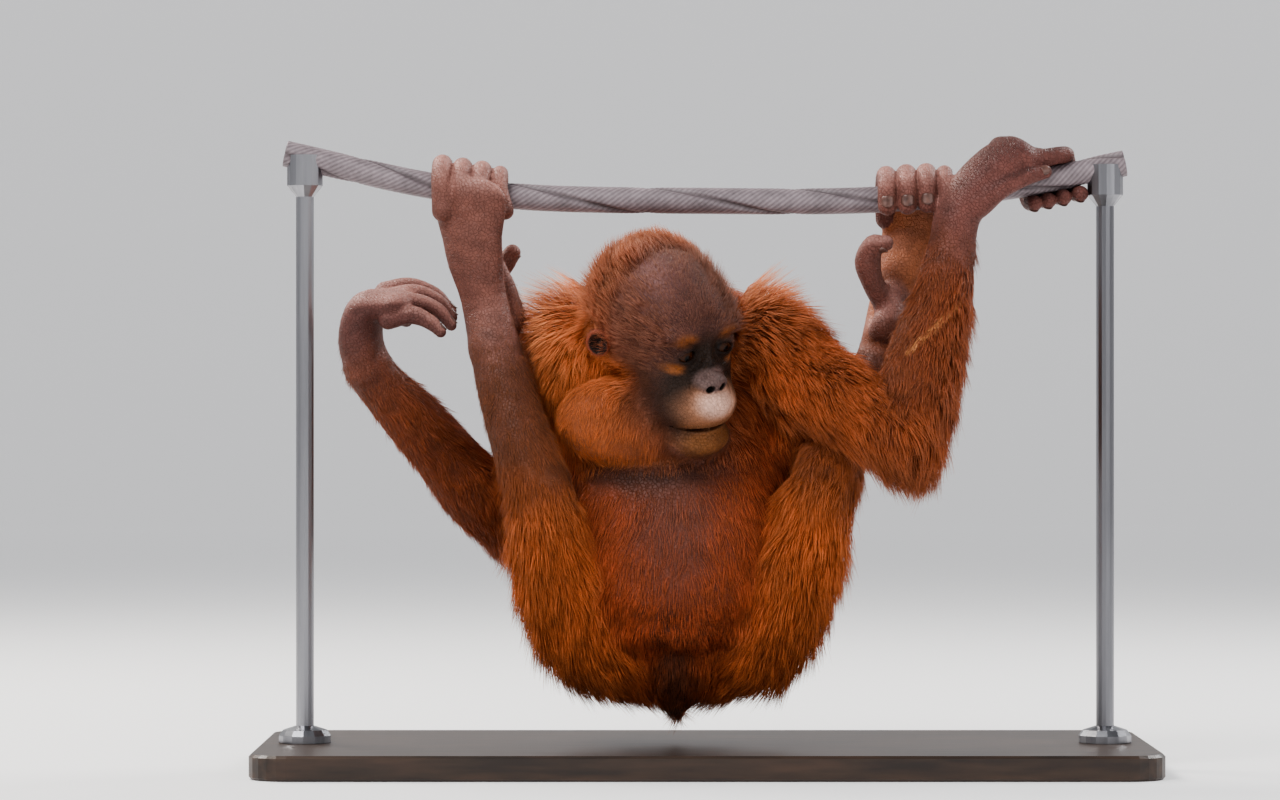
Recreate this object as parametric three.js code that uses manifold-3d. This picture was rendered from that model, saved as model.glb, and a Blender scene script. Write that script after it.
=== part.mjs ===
// A young orangutan at life size, hanging from a short length of twisted rope by both feet and its left hand,
// with the rope held over a flat base by two rods, as a museum shows it.
// Millimetres, +Z up, +X to the right of a viewer who faces the belly, +Y away from that viewer.
// The origin is the middle of the base's underside. "right" and "left" in names are the animal's own.
import * as THREE from "three";
import { mergeVertices } from "three/addons/utils/BufferGeometryUtils.js";
import Module from "manifold-3d";

// Driving dimensions.
const GAP = 0.3; // between pieces that touch
const LOCK_GAP = 0.45; // between the locks of two pieces
const BASE_SIZE = { long: 640, deep: 270, high: 18, corner: 26, bevel: 2 };
const ROPE_HALF = 302; // half the rope's cut length
const ROPE_RADIUS = 9.5;
const ROPE_GROOVE = 1.9; // how deep the twist is cut
const ROPE_TURN = 210; // length of one turn of the twist
const ROD = { radius: 6.5, cup: 13, cupHigh: 22, foot: 19, footHigh: 9, x: 288 };
const HEAD_CENTRE = new THREE.Vector3(-32, -46, 325);
const HEAD_TURN = { yaw: 40, pitch: 20, roll: 13 }; // degrees: to the viewer's right, down, and over
const EYE = { x: 16.5, y: 44, z: -9, radius: 10 };
const EAR = { x: 46.5, y: -11, z: -15, turn: 32, tip: 12 };
const FINGER = 6.2; // radius of a finger of the gripping hand at its middle
const CORE = { trunk: 4, neck: 1, arm: [4, 2, 0], leg: [4, 1, 0] }; // how far the solid coat lies over the skin
const LOCK_SINK = 4; // how deep a lock is rooted
const LOCK_THICK = 5.5;
const FINEST = 0.03; // edges shorter than this are closed up

const wasm = await Module();
wasm.setup();
const V = (x, y, z) => new THREE.Vector3(x, y, z);
const DOWN = V(0, 0, -1);
const ACROSS = V(1, 0, 0);

// Seeded random numbers from 0 to 1, so that every build makes the same coat.
let seed = 20417;
function random() {
  seed = (seed * 1664525 + 1013904223) % 4294967296;
  return seed / 4294967296;
}
const spread = (size) => (random() * 2 - 1) * size;

// Solids.
function solidFrom(points, faces) {
  const flat = new Float32Array(points.length * 3);
  points.forEach((p, i) => flat.set([p.x, p.y, p.z], i * 3));
  return new wasm.Manifold(
    new wasm.Mesh({ numProp: 3, vertProperties: flat, triVerts: new Uint32Array(faces.flat()) }),
  );
}

function solidOf(geometry) {
  const bare = geometry.clone();
  bare.deleteAttribute("normal");
  bare.deleteAttribute("uv");
  const merged = mergeVertices(bare, 1e-3);
  return new wasm.Manifold(
    new wasm.Mesh({
      numProp: 3,
      vertProperties: new Float32Array(merged.attributes.position.array),
      triVerts: new Uint32Array(merged.index.array),
    }),
  );
}

// Rings of points joined into one closed skin, with a point at each end.
function closedRings(start, rings, end) {
  const sides = rings[0].length;
  const points = [start, ...rings.flat(), end];
  const last = points.length - 1;
  const faces = [];
  for (let j = 0; j < sides; j++) {
    const k = (j + 1) % sides;
    faces.push([0, 1 + k, 1 + j]);
    faces.push([last, last - sides + j, last - sides + k]);
    for (let i = 0; i + 1 < rings.length; i++) {
      const a = 1 + i * sides;
      const b = a + sides;
      faces.push([a + j, a + k, b + k], [a + j, b + k, b + j]);
    }
  }
  return solidFrom(points, faces);
}

// A limb, digit or trunk: oval rings along a smooth line through stations [x, y, z, half width, half depth],
// with round ends. wide is the direction in which the half width is measured at the start. It turns with the line.
const TURN_STEPS = 60;
class Tube {
  constructor(stations, wide = ACROSS, { sides = 10, rings = 7, caps = 2 } = {}) {
    this.line = new THREE.CatmullRomCurve3(stations.map((s) => V(s[0], s[1], s[2])), false, "centripetal");
    this.sizes = stations.map((s) => [s[3], s[4] ?? s[3]]);
    this.knots = stations.map((_, i) => i / (stations.length - 1));
    Object.assign(this, { sides, rings, caps });
    this.wides = [];
    for (let i = 0; i <= TURN_STEPS; i++) {
      const along = this.line.getTangent(i / TURN_STEPS);
      const last = this.wides[i - 1] ?? wide;
      this.wides.push(last.clone().addScaledVector(along, -last.dot(along)).normalize());
    }
  }

  size(u) {
    const i = Math.min(Math.floor(u * (this.sizes.length - 1)), this.sizes.length - 2);
    const t = THREE.MathUtils.smoothstep(u, this.knots[i], this.knots[i + 1]);
    return [0, 1].map((k) => THREE.MathUtils.lerp(this.sizes[i][k], this.sizes[i + 1][k], t));
  }

  frame(u) {
    const along = this.line.getTangent(u).normalize();
    const wide = this.wides[Math.round(u * TURN_STEPS)];
    const side = wide.clone().addScaledVector(along, -wide.dot(along)).normalize();
    return { centre: this.line.getPoint(u), along, side, deep: along.clone().cross(side) };
  }

  // The point on the skin at share u of the line and angle phi round it, and its outward normal.
  at(u, phi, grow = 0) {
    const f = this.frame(u);
    const [w, d] = this.size(u);
    const [c, s] = [Math.cos(phi), Math.sin(phi)];
    const point = f.centre.clone().addScaledVector(f.side, c * (w + grow)).addScaledVector(f.deep, s * (d + grow));
    const normal = f.side.clone().multiplyScalar(c / w).addScaledVector(f.deep, s / d).normalize();
    return { point, normal, along: f.along, curve: 0.8 / (w + d) };
  }

  // Whether a point lies inside the skin grown by this much.
  covers(point, grow) {
    let [nearest, gap] = [0, Infinity];
    for (let i = 0; i <= TURN_STEPS; i++) {
      const distance = this.line.getPoint(i / TURN_STEPS).distanceTo(point);
      if (distance < gap) [nearest, gap] = [i / TURN_STEPS, distance];
    }
    const f = this.frame(nearest);
    const [w, d] = this.size(nearest);
    const out = point.clone().sub(f.centre);
    const ends = out.dot(f.along) / ((w + d) / 2 + grow);
    return Math.hypot(out.dot(f.side) / (w + grow), out.dot(f.deep) / (d + grow), ends) < 1;
  }

  ring(u, share, shift, grow) {
    const f = this.frame(u);
    const [w, d] = this.size(u);
    return Array.from({ length: this.sides }, (_, j) => {
      const phi = (j / this.sides) * Math.PI * 2;
      return f.centre
        .clone()
        .addScaledVector(f.along, shift)
        .addScaledVector(f.side, Math.cos(phi) * (w + grow) * share)
        .addScaledVector(f.deep, Math.sin(phi) * (d + grow) * share);
    });
  }

  solid(grow = 0) {
    const reach = [0, 1].map((u) => (this.size(u)[0] + this.size(u)[1]) / 2 + grow);
    const bends = Array.from({ length: this.caps }, (_, i) => ((i + 1) / (this.caps + 1)) * (Math.PI / 2));
    const rings = [
      ...bends.map((a) => this.ring(0, Math.sin(a), -Math.cos(a) * reach[0], grow)),
      ...Array.from({ length: this.rings + 1 }, (_, i) => this.ring(i / this.rings, 1, 0, grow)),
      ...bends.toReversed().map((a) => this.ring(1, Math.sin(a), Math.cos(a) * reach[1], grow)),
    ];
    const [first, last] = [this.frame(0), this.frame(1)];
    return closedRings(
      first.centre.clone().addScaledVector(first.along, -reach[0]),
      rings,
      last.centre.clone().addScaledVector(last.along, reach[1]),
    );
  }
}

const join = (solids) => wasm.Manifold.union(solids);
const largest = (s) => s.decompose().reduce((a, b) => (b.volume() > a.volume() ? b : a));

// An ellipsoid of these half sizes, turned by a matrix of axes, about a centre.
function egg(centre, half, axes = new THREE.Matrix4(), grow = 0, [across, down] = [12, 8]) {
  const place = axes.clone().setPosition(centre);
  const stretch = new THREE.Matrix4().makeScale(half.x + grow, half.y + grow, half.z + grow);
  return solidOf(new THREE.SphereGeometry(1, across, down).applyMatrix4(place.multiply(stretch)));
}

// Head: distances to its soft forms, blended into one surface. x is to the animal's right, y forward, z up.
const HEAD_FORMS = [
  // [centre, half sizes, blend]
  [V(0, -2, 3), V(43.5, 51, 47), 1], // braincase
  [V(0, 33, 4), V(31.5, 19.5, 21), 14], // forehead
  [V(0, 34, -30), V(32.5, 25.5, 34), 16], // cheeks
  [V(0, 14, -58), V(35, 30, 27), 14], // jaw
  [V(0, 45, -52), V(28, 23, 22), 12], // muzzle
  [V(0, 54, -48), V(23.5, 18.5, 14.8), 8], // upper lip
  [V(0, 49, -76.5), V(24.5, 18.5, 14), 6], // lower lip and chin
  [V(0, 50, -19), V(7, 9, 13), 8], // bridge of the nose
  [V(0, 63, -29), V(8, 6, 5.5), 5], // tip of the nose
  [V(-7.5, 61, -30), V(4.5, 5, 4.5), 4], // wings of the nose
  [V(7.5, 61, -30), V(4.5, 5, 4.5), 4],
];
const BROW = { x: 17, y: 47.5, z: 5, half: V(15, 8, 5.5), blend: 7 };
const SOCKET = { x: 17, y: 60, z: -9, half: V(13, 11, 10), blend: 7 };
const LID = { radius: EYE.radius + 1.9, blend: 2.5 };

function eggDistance(p, centre, half) {
  const q = p.clone().sub(centre);
  const near = q.clone().divide(half).length();
  const slope = q.clone().divide(half.clone().multiply(half)).length();
  return slope < 1e-9 ? -Math.min(half.x, half.y, half.z) : (near * (near - 1)) / slope;
}

function blendMin(a, b, k) {
  const h = Math.max(k - Math.abs(a - b), 0) / k;
  return Math.min(a, b) - (h * h * k) / 4;
}

function headDistance(p) {
  let d = 1e3;
  for (const [centre, half, blend] of HEAD_FORMS) d = blendMin(d, eggDistance(p, centre, half), blend);
  for (const side of [-1, 1]) {
    d = blendMin(d, eggDistance(p, V(side * BROW.x, BROW.y, BROW.z), BROW.half), BROW.blend);
    d = -blendMin(-d, eggDistance(p, V(side * SOCKET.x, SOCKET.y, SOCKET.z), SOCKET.half), SOCKET.blend);
    d = blendMin(d, p.distanceTo(V(side * EYE.x, EYE.y, EYE.z)) - LID.radius, LID.blend);
  }
  return d;
}

const turn = (deg) => THREE.MathUtils.degToRad(deg);
const HEAD_AXES = (() => {
  const { yaw, pitch, roll } = HEAD_TURN;
  const facing = V(0, 1, 0).applyAxisAngle(V(1, 0, 0), -turn(pitch));
  const up = V(0, 0, 1).applyAxisAngle(V(1, 0, 0), -turn(pitch));
  const spin = turn(180 + yaw);
  facing.applyAxisAngle(V(0, 0, 1), spin);
  up.applyAxisAngle(V(0, 0, 1), spin).applyAxisAngle(facing, turn(roll));
  return new THREE.Matrix4().makeBasis(facing.clone().cross(up), facing, up);
})();
const HEAD_PLACE = HEAD_AXES.clone().setPosition(HEAD_CENTRE);

// A ball whose points slide along rays from its middle to where distance() is zero. Rings lie closer at the pole.
function rayBall(middle, pole, distance, { rings, sides, crowd, reach }, grow) {
  const turnTo = new THREE.Quaternion().setFromUnitVectors(V(0, 0, 1), pole.clone().normalize());
  const cast = (direction) => {
    let [near, far] = [0, reach];
    for (let i = 0; i < 22; i++) {
      const mid = (near + far) / 2;
      if (distance(middle.clone().addScaledVector(direction, mid)) - grow < 0) near = mid;
      else far = mid;
    }
    return middle.clone().addScaledVector(direction, near);
  };
  const ringsOut = [];
  for (let i = 1; i < rings; i++) {
    const polar = Math.PI * (i / rings) ** crowd;
    ringsOut.push(
      Array.from({ length: sides }, (_, j) => {
        const phi = (j / sides) * Math.PI * 2;
        const [s, c] = [Math.sin(polar), Math.cos(polar)];
        return cast(V(s * Math.cos(phi), s * Math.sin(phi), c).applyQuaternion(turnTo));
      }),
    );
  }
  const top = cast(V(0, 0, 1).applyQuaternion(turnTo));
  const bottom = cast(V(0, 0, -1).applyQuaternion(turnTo));
  return closedRings(bottom, ringsOut.toReversed(), top);
}

const HEAD_MIDDLE = V(0, 8, -14);
const FACE_POLE = V(0, 1, -0.5);
const HEAD_MESH = { rings: 21, sides: 24, crowd: 1.4, reach: 120 };
const placed = (s, matrix = HEAD_PLACE) => s.transform(matrix.elements);
const headSkin = (grow) => placed(rayBall(HEAD_MIDDLE, FACE_POLE, headDistance, HEAD_MESH, grow));

const MOUTH = [
  [-21, 48, -63], [-16, 56.5, -63.2], [-9, 62.5, -63.4], [0, 65, -63.5],
  [9, 62.5, -63.4], [16, 56.5, -63.2], [21, 48, -63],
].map((p) => [...p, 1.4, 8]);
const NOSTRIL = { x: 5.2, y: 66, z: -32, half: V(2.8, 4.5, 2.6) };
const EYE_SLIT = { y: 10, half: V(7, 9, 3.5), tilt: 8 };

// The cuts in the face: the line of the mouth, the nostrils, and the slits between the lids.
function faceCuts() {
  const cuts = [new Tube(MOUTH, V(0, 0, 1), { sides: 4, rings: 6, caps: 0 }).solid()];
  for (const side of [-1, 1]) {
    cuts.push(egg(V(side * NOSTRIL.x, NOSTRIL.y, NOSTRIL.z), NOSTRIL.half, undefined, 0, [6, 4]));
    const slant = new THREE.Matrix4().makeRotationY(side * turn(EYE_SLIT.tilt));
    cuts.push(egg(V(side * EYE.x, EYE.y + EYE_SLIT.y, EYE.z), EYE_SLIT.half, slant, 0, [10, 5]));
  }
  return placed(join(cuts));
}

const EYE_HALF = V(1, 1, 1).multiplyScalar(EYE.radius);
const eyeAt = (side, grow) => placed(egg(V(side * EYE.x, EYE.y, EYE.z), EYE_HALF, undefined, grow, [12, 7]));

// An ear: a small round dish, open outwards and forwards, with a rolled rim and its root in the head.
const EAR_HALF = V(5.6, 9.4, 10.2);
const EAR_DISH = { place: V(4.4, 1.2, 0), half: V(5.2, 6.6, 7.6) };
const EAR_LOBE = { place: V(3.3, 6.4, -2), half: V(2, 2.4, 3.2) };
function earAt(side, grow) {
  const axes = new THREE.Matrix4().makeRotationZ(side * turn(EAR.turn));
  axes.multiply(new THREE.Matrix4().makeRotationX(turn(EAR.tip)));
  const root = V(side * EAR.x, EAR.y, EAR.z);
  const inEar = (p) => V(side * p.x, p.y, p.z).applyMatrix4(axes).add(root);
  const shell = egg(root, EAR_HALF, axes, grow, [8, 6]);
  const lobe = egg(inEar(EAR_LOBE.place), EAR_LOBE.half, axes, grow, [6, 4]);
  if (grow) return placed(join([shell, lobe]));
  const dish = egg(inEar(EAR_DISH.place), EAR_DISH.half, axes, 0, [7, 4]);
  return placed(join([shell.subtract(dish), lobe]));
}

// Trunk, from the rump up to the root of the neck: [x, y, z, half width, half depth].
const TRUNK = [
  [-20, 6, 88, 44, 38], [-20, 4, 104, 66, 54], [-20, 2, 132, 78, 62], [-20, 4, 166, 82, 63],
  [-20, 10, 204, 82, 57], [-22, 18, 240, 80, 50], [-24, 28, 274, 72, 45], [-28, 32, 306, 52, 36],
];
const RUMP = [[-21, 0, 66, 22, 19], [-21, -2, 50, 11, 9], [-21, -3, 43, 6, 5]];
const trunkTube = new Tube(TRUNK, ACROSS, { sides: 16, rings: 9, caps: 2 });
const rumpTube = new Tube(RUMP, ACROSS, { sides: 8, rings: 3, caps: 1 });
const trunkSkin = (grow) => join([trunkTube.solid(grow + CORE.trunk), rumpTube.solid(grow)]);

// Neck, with the throat sac that hangs over the chest.
const NECK = [[-25, 34, 292, 40, 32], [-28, 12, 304, 42, 36], [-32, -14, 312, 40, 36]];
const THROAT = { centre: V(-50, -33, 250), half: V(56, 27, 32) };
const CHEEK = { centre: V(-88, -6, 272), half: V(30, 27, 36) }; // the side of the neck under the right ear
const neckTube = new Tube(NECK, ACROSS, { sides: 12, rings: 3, caps: 1 });
const neckEggs = (grow) => [THROAT, CHEEK].map(({ centre, half }) => egg(centre, half, undefined, grow, [12, 7]));
const neckSkin = (grow) => join([neckTube.solid(grow), ...neckEggs(grow)]);

// The rope's middle line, sagging under the animal's weight, and a grip's place on it.
const SAG = [[-ROPE_HALF, 442], [-198, 419], [-133, 411], [-4, 408], [126, 409], [220, 418.5], [ROPE_HALF, 435]];
const ROPE_LINE = new THREE.CatmullRomCurve3(SAG.map(([x, z]) => V(x, 0, z)));
function ropeHeight(x) {
  let [near, far] = [0, 1];
  for (let i = 0; i < 30; i++) {
    const mid = (near + far) / 2;
    if (ROPE_LINE.getPoint(mid).x < x) near = mid;
    else far = mid;
  }
  return ROPE_LINE.getPoint(near).z;
}

// Twisted rope with flat cut ends.
function rope(grow, { sides, rings } = { sides: 9, rings: 30 }) {
  const length = ROPE_LINE.getLength();
  const hoops = Array.from({ length: rings + 1 }, (_, i) => {
    const u = i / rings;
    const centre = ROPE_LINE.getPointAt(u);
    const along = ROPE_LINE.getTangentAt(u);
    const side = V(0, 1, 0);
    const up = along.clone().cross(side);
    const twist = ((u * length) / ROPE_TURN) * Math.PI * 2;
    return Array.from({ length: sides }, (_, j) => {
      const phi = (j / sides) * Math.PI * 2 + twist;
      const groove = ROPE_GROOVE * Math.max(0, Math.cos(2 * (phi - twist))) ** 8;
      const r = ROPE_RADIUS + grow - (grow ? 0 : groove);
      return centre.clone().addScaledVector(side, Math.cos(phi) * r).addScaledVector(up, Math.sin(phi) * r);
    });
  });
  return closedRings(ROPE_LINE.getPointAt(0), hoops, ROPE_LINE.getPointAt(1));
}

// A digit that bends round the rope: from its root, then round at the given angles. Angle 0 is the side that the
// grip starts from, 90 the top. lean is how far along the rope it moves between the first angle and the last.
function gripDigit(root, x, from, angles, radius, lean = 0) {
  const reach = ROPE_RADIUS + radius;
  const round = angles.map((angle, i) => {
    const place = x + (lean * i) / (angles.length - 1);
    const [c, s] = [Math.cos(turn(angle)), Math.sin(turn(angle))];
    const taper = 1 - (0.14 * i) / (angles.length - 1);
    return [place, from * c * reach, ropeHeight(place) + s * reach, radius * taper];
  });
  return new Tube([[...root, radius * 1.05], ...round], ACROSS, { sides: 6, rings: 5, caps: 1 });
}

const limb = (wide, sides, rings, ...stations) => new Tube(stations, wide, { sides, rings });
const digit = (wide, sides, rings, ...stations) => new Tube(stations, wide, { sides, rings, caps: 1 });
// Place along the rope and radius of each toe, from the outer one.
const TOES_RIGHT = [[-189, 7.1], [-174.5, 7.1], [-160.5, 6.9], [-147.5, 5.7]];
const TOES_LEFT = [[130.5, 7], [144.8, 7.2], [159.2, 7], [172.3, 5.6]];
// Root and the way each finger of the free right hand goes: sideways, further out, and down.
const FINGERS_RIGHT = [
  [-231, 8, 343, 4, 5, 14], [-227, -2, 338, 0, 2, 14], [-225, -12, 331, -4, 0, 13], [-227, -21, 322, -9, -5, 9],
];
// Root of each finger of the left hand, and its place on the rope.
const FINGERS_LEFT = [
  [232, -17, 436, 258], [226, -13, 441, 246], [219, -9, 445, 235], [211, -4, 447, 225],
];

function freeFinger([x, y, z, sway, reach, drop]) {
  return digit(V(0, -0.7, -0.7), 6, 5,
    [x, y, z, 7],
    [x + 17, y + sway * 0.3, z + 3.5, 6.6],
    [x + 33 + reach * 0.5, y + sway * 0.6, z - 2, 5.4],
    [x + 43 + reach, y + sway, z - drop, 3.9]);
}

// Limbs: the bones' tubes, one for each named part, and what grows from them.
const LIMBS = [
  {
    names: ["thigh_right", "shin_right", "foot_right"],
    core: CORE.leg,
    bones: [
      limb(ACROSS, 10, 5, [-48, 8, 80, 30, 32], [-80, -10, 94, 31, 33], [-101, -26, 132, 29, 31],
        [-113, -40, 176, 25, 26], [-119, -42, 204, 22, 22]),
      limb(ACROSS, 10, 4, [-119, -42, 204, 22, 22], [-130, -38, 232, 22, 23], [-142, -28, 270, 20, 20],
        [-151, -18, 302, 18, 17]),
      limb(V(0.9, -0.42, 0), 8, 3, [-151, -18, 302, 18, 17], [-159, -14, 338, 17, 13],
        [-166, -17, 372, 22, 11], [-168.5, -19.5, 406, 28, 8.5]),
    ],
    digits: [
      limb(ACROSS, 6, 3, [-149, -6, 312, 12, 11], [-141, 0, 322, 11, 10], [-144, 0, 342, 9, 9],
        [-150, -2, 360, 7, 7]),
      digit(ACROSS, 6, 4, [-159, 4, 338, 8, 7], [-152, 9, 352, 7.5, 7], [-144, 10, 364, 7.5, 7],
        [-139, 9, 371, 6, 6]),
      ...TOES_RIGHT.map(([x, radius], i) =>
        gripDigit([x + 1 + i, -19 + i * 0.6, 400], x, -1, [14, 55, 100, 145, 192], radius)),
    ],
  },
  {
    names: ["thigh_left", "shin_left", "foot_left"],
    core: CORE.leg,
    bones: [
      limb(ACROSS, 10, 5, [8, 8, 82, 30, 32], [38, -10, 94, 31, 33], [59, -26, 132, 29, 31],
        [76, -36, 180, 25, 26], [88, -30, 214, 22, 22]),
      limb(ACROSS, 10, 4, [88, -30, 214, 22, 22], [102, -12, 244, 21, 22], [118, 6, 276, 18, 19],
        [128, 14, 298, 16, 17]),
      limb(V(0.94, -0.34, 0), 8, 3, [128, 14, 298, 16, 17], [134, 18, 330, 16, 13],
        [143, 20, 364, 18, 11], [151, 20, 396, 22, 9]),
    ],
    digits: [
      limb(ACROSS, 6, 2, [129, 10, 312, 13, 12], [131, 1, 316, 12, 11], [136, 10, 340, 9, 9]),
      digit(V(0.2, 1, 0.1), 6, 5, [131, 8, 333, 10, 8.5], [121, 0, 349, 9, 8], [117, -5, 364, 10.5, 9.5],
        [121, -11, 375, 9, 8], [129, -14, 377, 6.5, 5.5]),
      ...TOES_LEFT.map(([x, radius]) => gripDigit([x + 1, 20, 396], x, 1, [12, 55, 100, 145, 200], radius)),
    ],
  },
  {
    names: ["upper_arm_right", "forearm_right", "hand_right"],
    core: CORE.arm,
    bones: [
      limb(V(0, 1, 0), 10, 4, [-92, 28, 297, 35, 35], [-110, 42, 256, 31, 31],
        [-127, 62, 206, 26, 26], [-139, 80, 170, 22, 22]),
      limb(V(0.55, 0, 0.6), 10, 4, [-139, 80, 170, 22, 22], [-164, 68, 194, 25, 25],
        [-200, 42, 238, 21, 21], [-236, 14, 278, 17, 17], [-243, 8, 288, 17, 16]),
      limb(V(-0.2, -0.66, -0.72), 8, 4, [-243, 8, 288, 17, 16], [-248, 2, 308, 19, 15.5],
        [-243, -4, 330, 21, 13], [-222, -10, 334, 21, 9]),
    ],
    digits: [
      limb(V(0, 1, 0), 8, 1, [-50, 26, 274, 33, 33], [-76, 27, 290, 34, 34]),
      digit(V(0, 1, 0), 6, 4, [-249, 14, 314, 8, 7], [-238, 22, 324, 6.5, 6], [-225, 22, 325, 5.6, 5.2],
        [-216, 20, 322, 4.8, 4.6]),
      ...FINGERS_RIGHT.map(freeFinger),
    ],
  },
  {
    names: ["upper_arm_left", "forearm_left", "hand_left"],
    core: CORE.arm,
    bones: [
      limb(V(-0.3, 0.1, 0.9), 10, 5, [0, 20, 270, 34, 34], [40, 8, 296, 35, 34], [72, -20, 278, 31, 30],
        [100, -48, 262, 28, 27], [124, -68, 247, 26, 25], [140, -76, 238, 25, 25]),
      limb(ACROSS, 10, 4, [140, -76, 238, 25, 25], [147, -65, 262, 28, 26], [157, -48, 298, 26, 23],
        [168, -31, 334, 20.5, 18], [176, -20, 370, 17, 14]),
      limb(V(0.75, -0.5, -0.38), 8, 4, [176, -20, 370, 17, 14], [181, -20, 398, 17.5, 13],
        [195, -20, 418, 19, 13], [210, -17, 432, 19.5, 12], [221, -13, 440, 18, 10]),
    ],
    digits: [
      digit(V(0.5, 0, -0.8), 6, 4, [196, -28, 404, 8.5, 7.5], [213, -32, 416, 6.5, 6],
        [230, -28, 424, 5.8, 5.5], [243, -22, 428, 5, 4.8]),
      ...FINGERS_LEFT.map(([x, y, z, place]) =>
        gripDigit([x, y, z], place, -1, [78, 125, 180, 235, 285], FINGER, 12)),
    ],
  },
];

// A limb in one piece, its bones grown by the solid part of the coat.
function limbSkin({ bones, digits, core }, grow) {
  return join([...bones.map((t, i) => t.solid(grow + core[i])), ...digits.map((t) => t.solid(grow))]);
}

// Where two bones of a limb meet, halving the angle between them.
function jointPlane(upper, lower) {
  const normal = upper.frame(1).along.clone().add(lower.frame(0).along).normalize();
  return { normal, offset: normal.dot(lower.line.getPoint(0)) };
}

// One limb in its named parts, with a thin gap at each joint, or a lap where the gap is negative.
function partLimb(whole, { bones }, gap) {
  let rest = whole;
  const parts = [];
  for (let i = 0; i + 1 < bones.length; i++) {
    const { normal, offset } = jointPlane(bones[i], bones[i + 1]);
    const n = [normal.x, normal.y, normal.z];
    parts.push(rest.trimByPlane(n.map((c) => -c), -offset + gap / 2));
    rest = rest.trimByPlane(n, offset + gap / 2);
  }
  return [...parts, rest].map(largest);
}

// Locks of the coat. A lock is a flat blade, rooted in the skin, that lies along it, lifts and ends in a point.
const LOCK_RINGS = [[-0.06, 0.5, 1], [0.38, 1, 0.75], [0.74, 0.66, 0.45]]; // share of length, width, thickness

function lockSolid({ root, normal, lie, length, width, rise, bend, sway }, grow) {
  const across = lie.clone().cross(normal);
  const spine = (t) =>
    root
      .clone()
      .addScaledVector(lie, length * t)
      .addScaledVector(normal, (rise + LOCK_SINK) * Math.max(t, 0) ** 0.6 - LOCK_SINK - bend * (length * t) ** 2)
      .addScaledVector(across, sway * t * t);
  const rings = LOCK_RINGS.map(([t, wide, thick]) => {
    const high = (LOCK_THICK * thick) / 2;
    const half = ((width * wide) / 2) * (1 + (2.1 * grow) / high) + grow; // its edges are sharp
    const centre = spine(t);
    return [[half, -grow], [-half, -grow], [0, high + grow * 1.1]].map(([a, b]) =>
      centre.clone().addScaledVector(across, a).addScaledVector(normal, b));
  });
  return closedRings(spine(-0.06).addScaledVector(lie, -grow), rings, spine(1).addScaledVector(lie, grow * 6));
}

// One lock at a place on the skin. run is how much it follows the line, and fall how much it hangs.
function lockAt({ point, normal, along, curve }, { run, fall, length, width, rise }) {
  const lie = along.clone().multiplyScalar(run).addScaledVector(DOWN, fall);
  lie.addScaledVector(normal, -lie.dot(normal)).normalize();
  lie.addScaledVector(lie.clone().cross(normal), spread(0.16)).normalize();
  const round = 1 - lie.dot(along) ** 2; // how much it runs round the limb, not along it
  return { root: point, normal, lie, length: length * (1 + spread(0.15)), width: width * (1 + spread(0.12)),
    rise: rise * (1 + spread(0.25)), bend: curve * round, sway: spread(5) };
}

// Staggered rows of locks on a tube. arc says which angles round it are haired.
function lockRows(tube, core, { rows, around, from, to, arc = () => true, ...hair }) {
  const locks = [];
  for (let i = 0; i < rows; i++) {
    for (let j = 0; j < around; j++) {
      const u = THREE.MathUtils.clamp(THREE.MathUtils.lerp(from, to, i / (rows - 1)) + spread(0.02), 0, 1);
      const phi = ((j + (i % 2) / 2) / around) * Math.PI * 2 + spread(0.08);
      const spot = tube.at(u, phi, core);
      if (arc(spot, u)) locks.push(lockAt(spot, hair));
    }
  }
  return locks;
}

// The rim of upright hair round the crown and down the nape, and the hair in front of and under the ears.
function headLocks() {
  const locks = [];
  const rim = [[98, 10], [120, 8], [144, 5]]; // angle back from the brow, and how many
  rim.forEach(([back, count]) => {
    for (let j = 0; j < count; j++) {
      const side = ((j + 0.5) / count) * 2 - 1;
      const polar = turn(back + 12 * side * side + spread(2));
      const roll = turn(side * 115);
      const direction = V(Math.sin(polar) * Math.sin(roll), Math.cos(polar), Math.sin(polar) * Math.cos(roll));
      let [near, far] = [0, 120];
      for (let k = 0; k < 20; k++) {
        const mid = (near + far) / 2;
        if (headDistance(HEAD_MIDDLE.clone().addScaledVector(direction, mid)) < 0) near = mid;
        else far = mid;
      }
      const point = HEAD_MIDDLE.clone().addScaledVector(direction, near);
      const normal = point.clone().sub(V(0, -5, 0)).normalize();
      const spot = { point: point.applyMatrix4(HEAD_PLACE), normal: normal.transformDirection(HEAD_PLACE),
        along: V(0, -1, 0.5 - Math.abs(side)).transformDirection(HEAD_PLACE), curve: 0 };
      locks.push(lockAt(spot, { run: 1, fall: 0.25, length: 25, width: 22, rise: 12 }));
    }
  });
  return locks;
}

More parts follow.
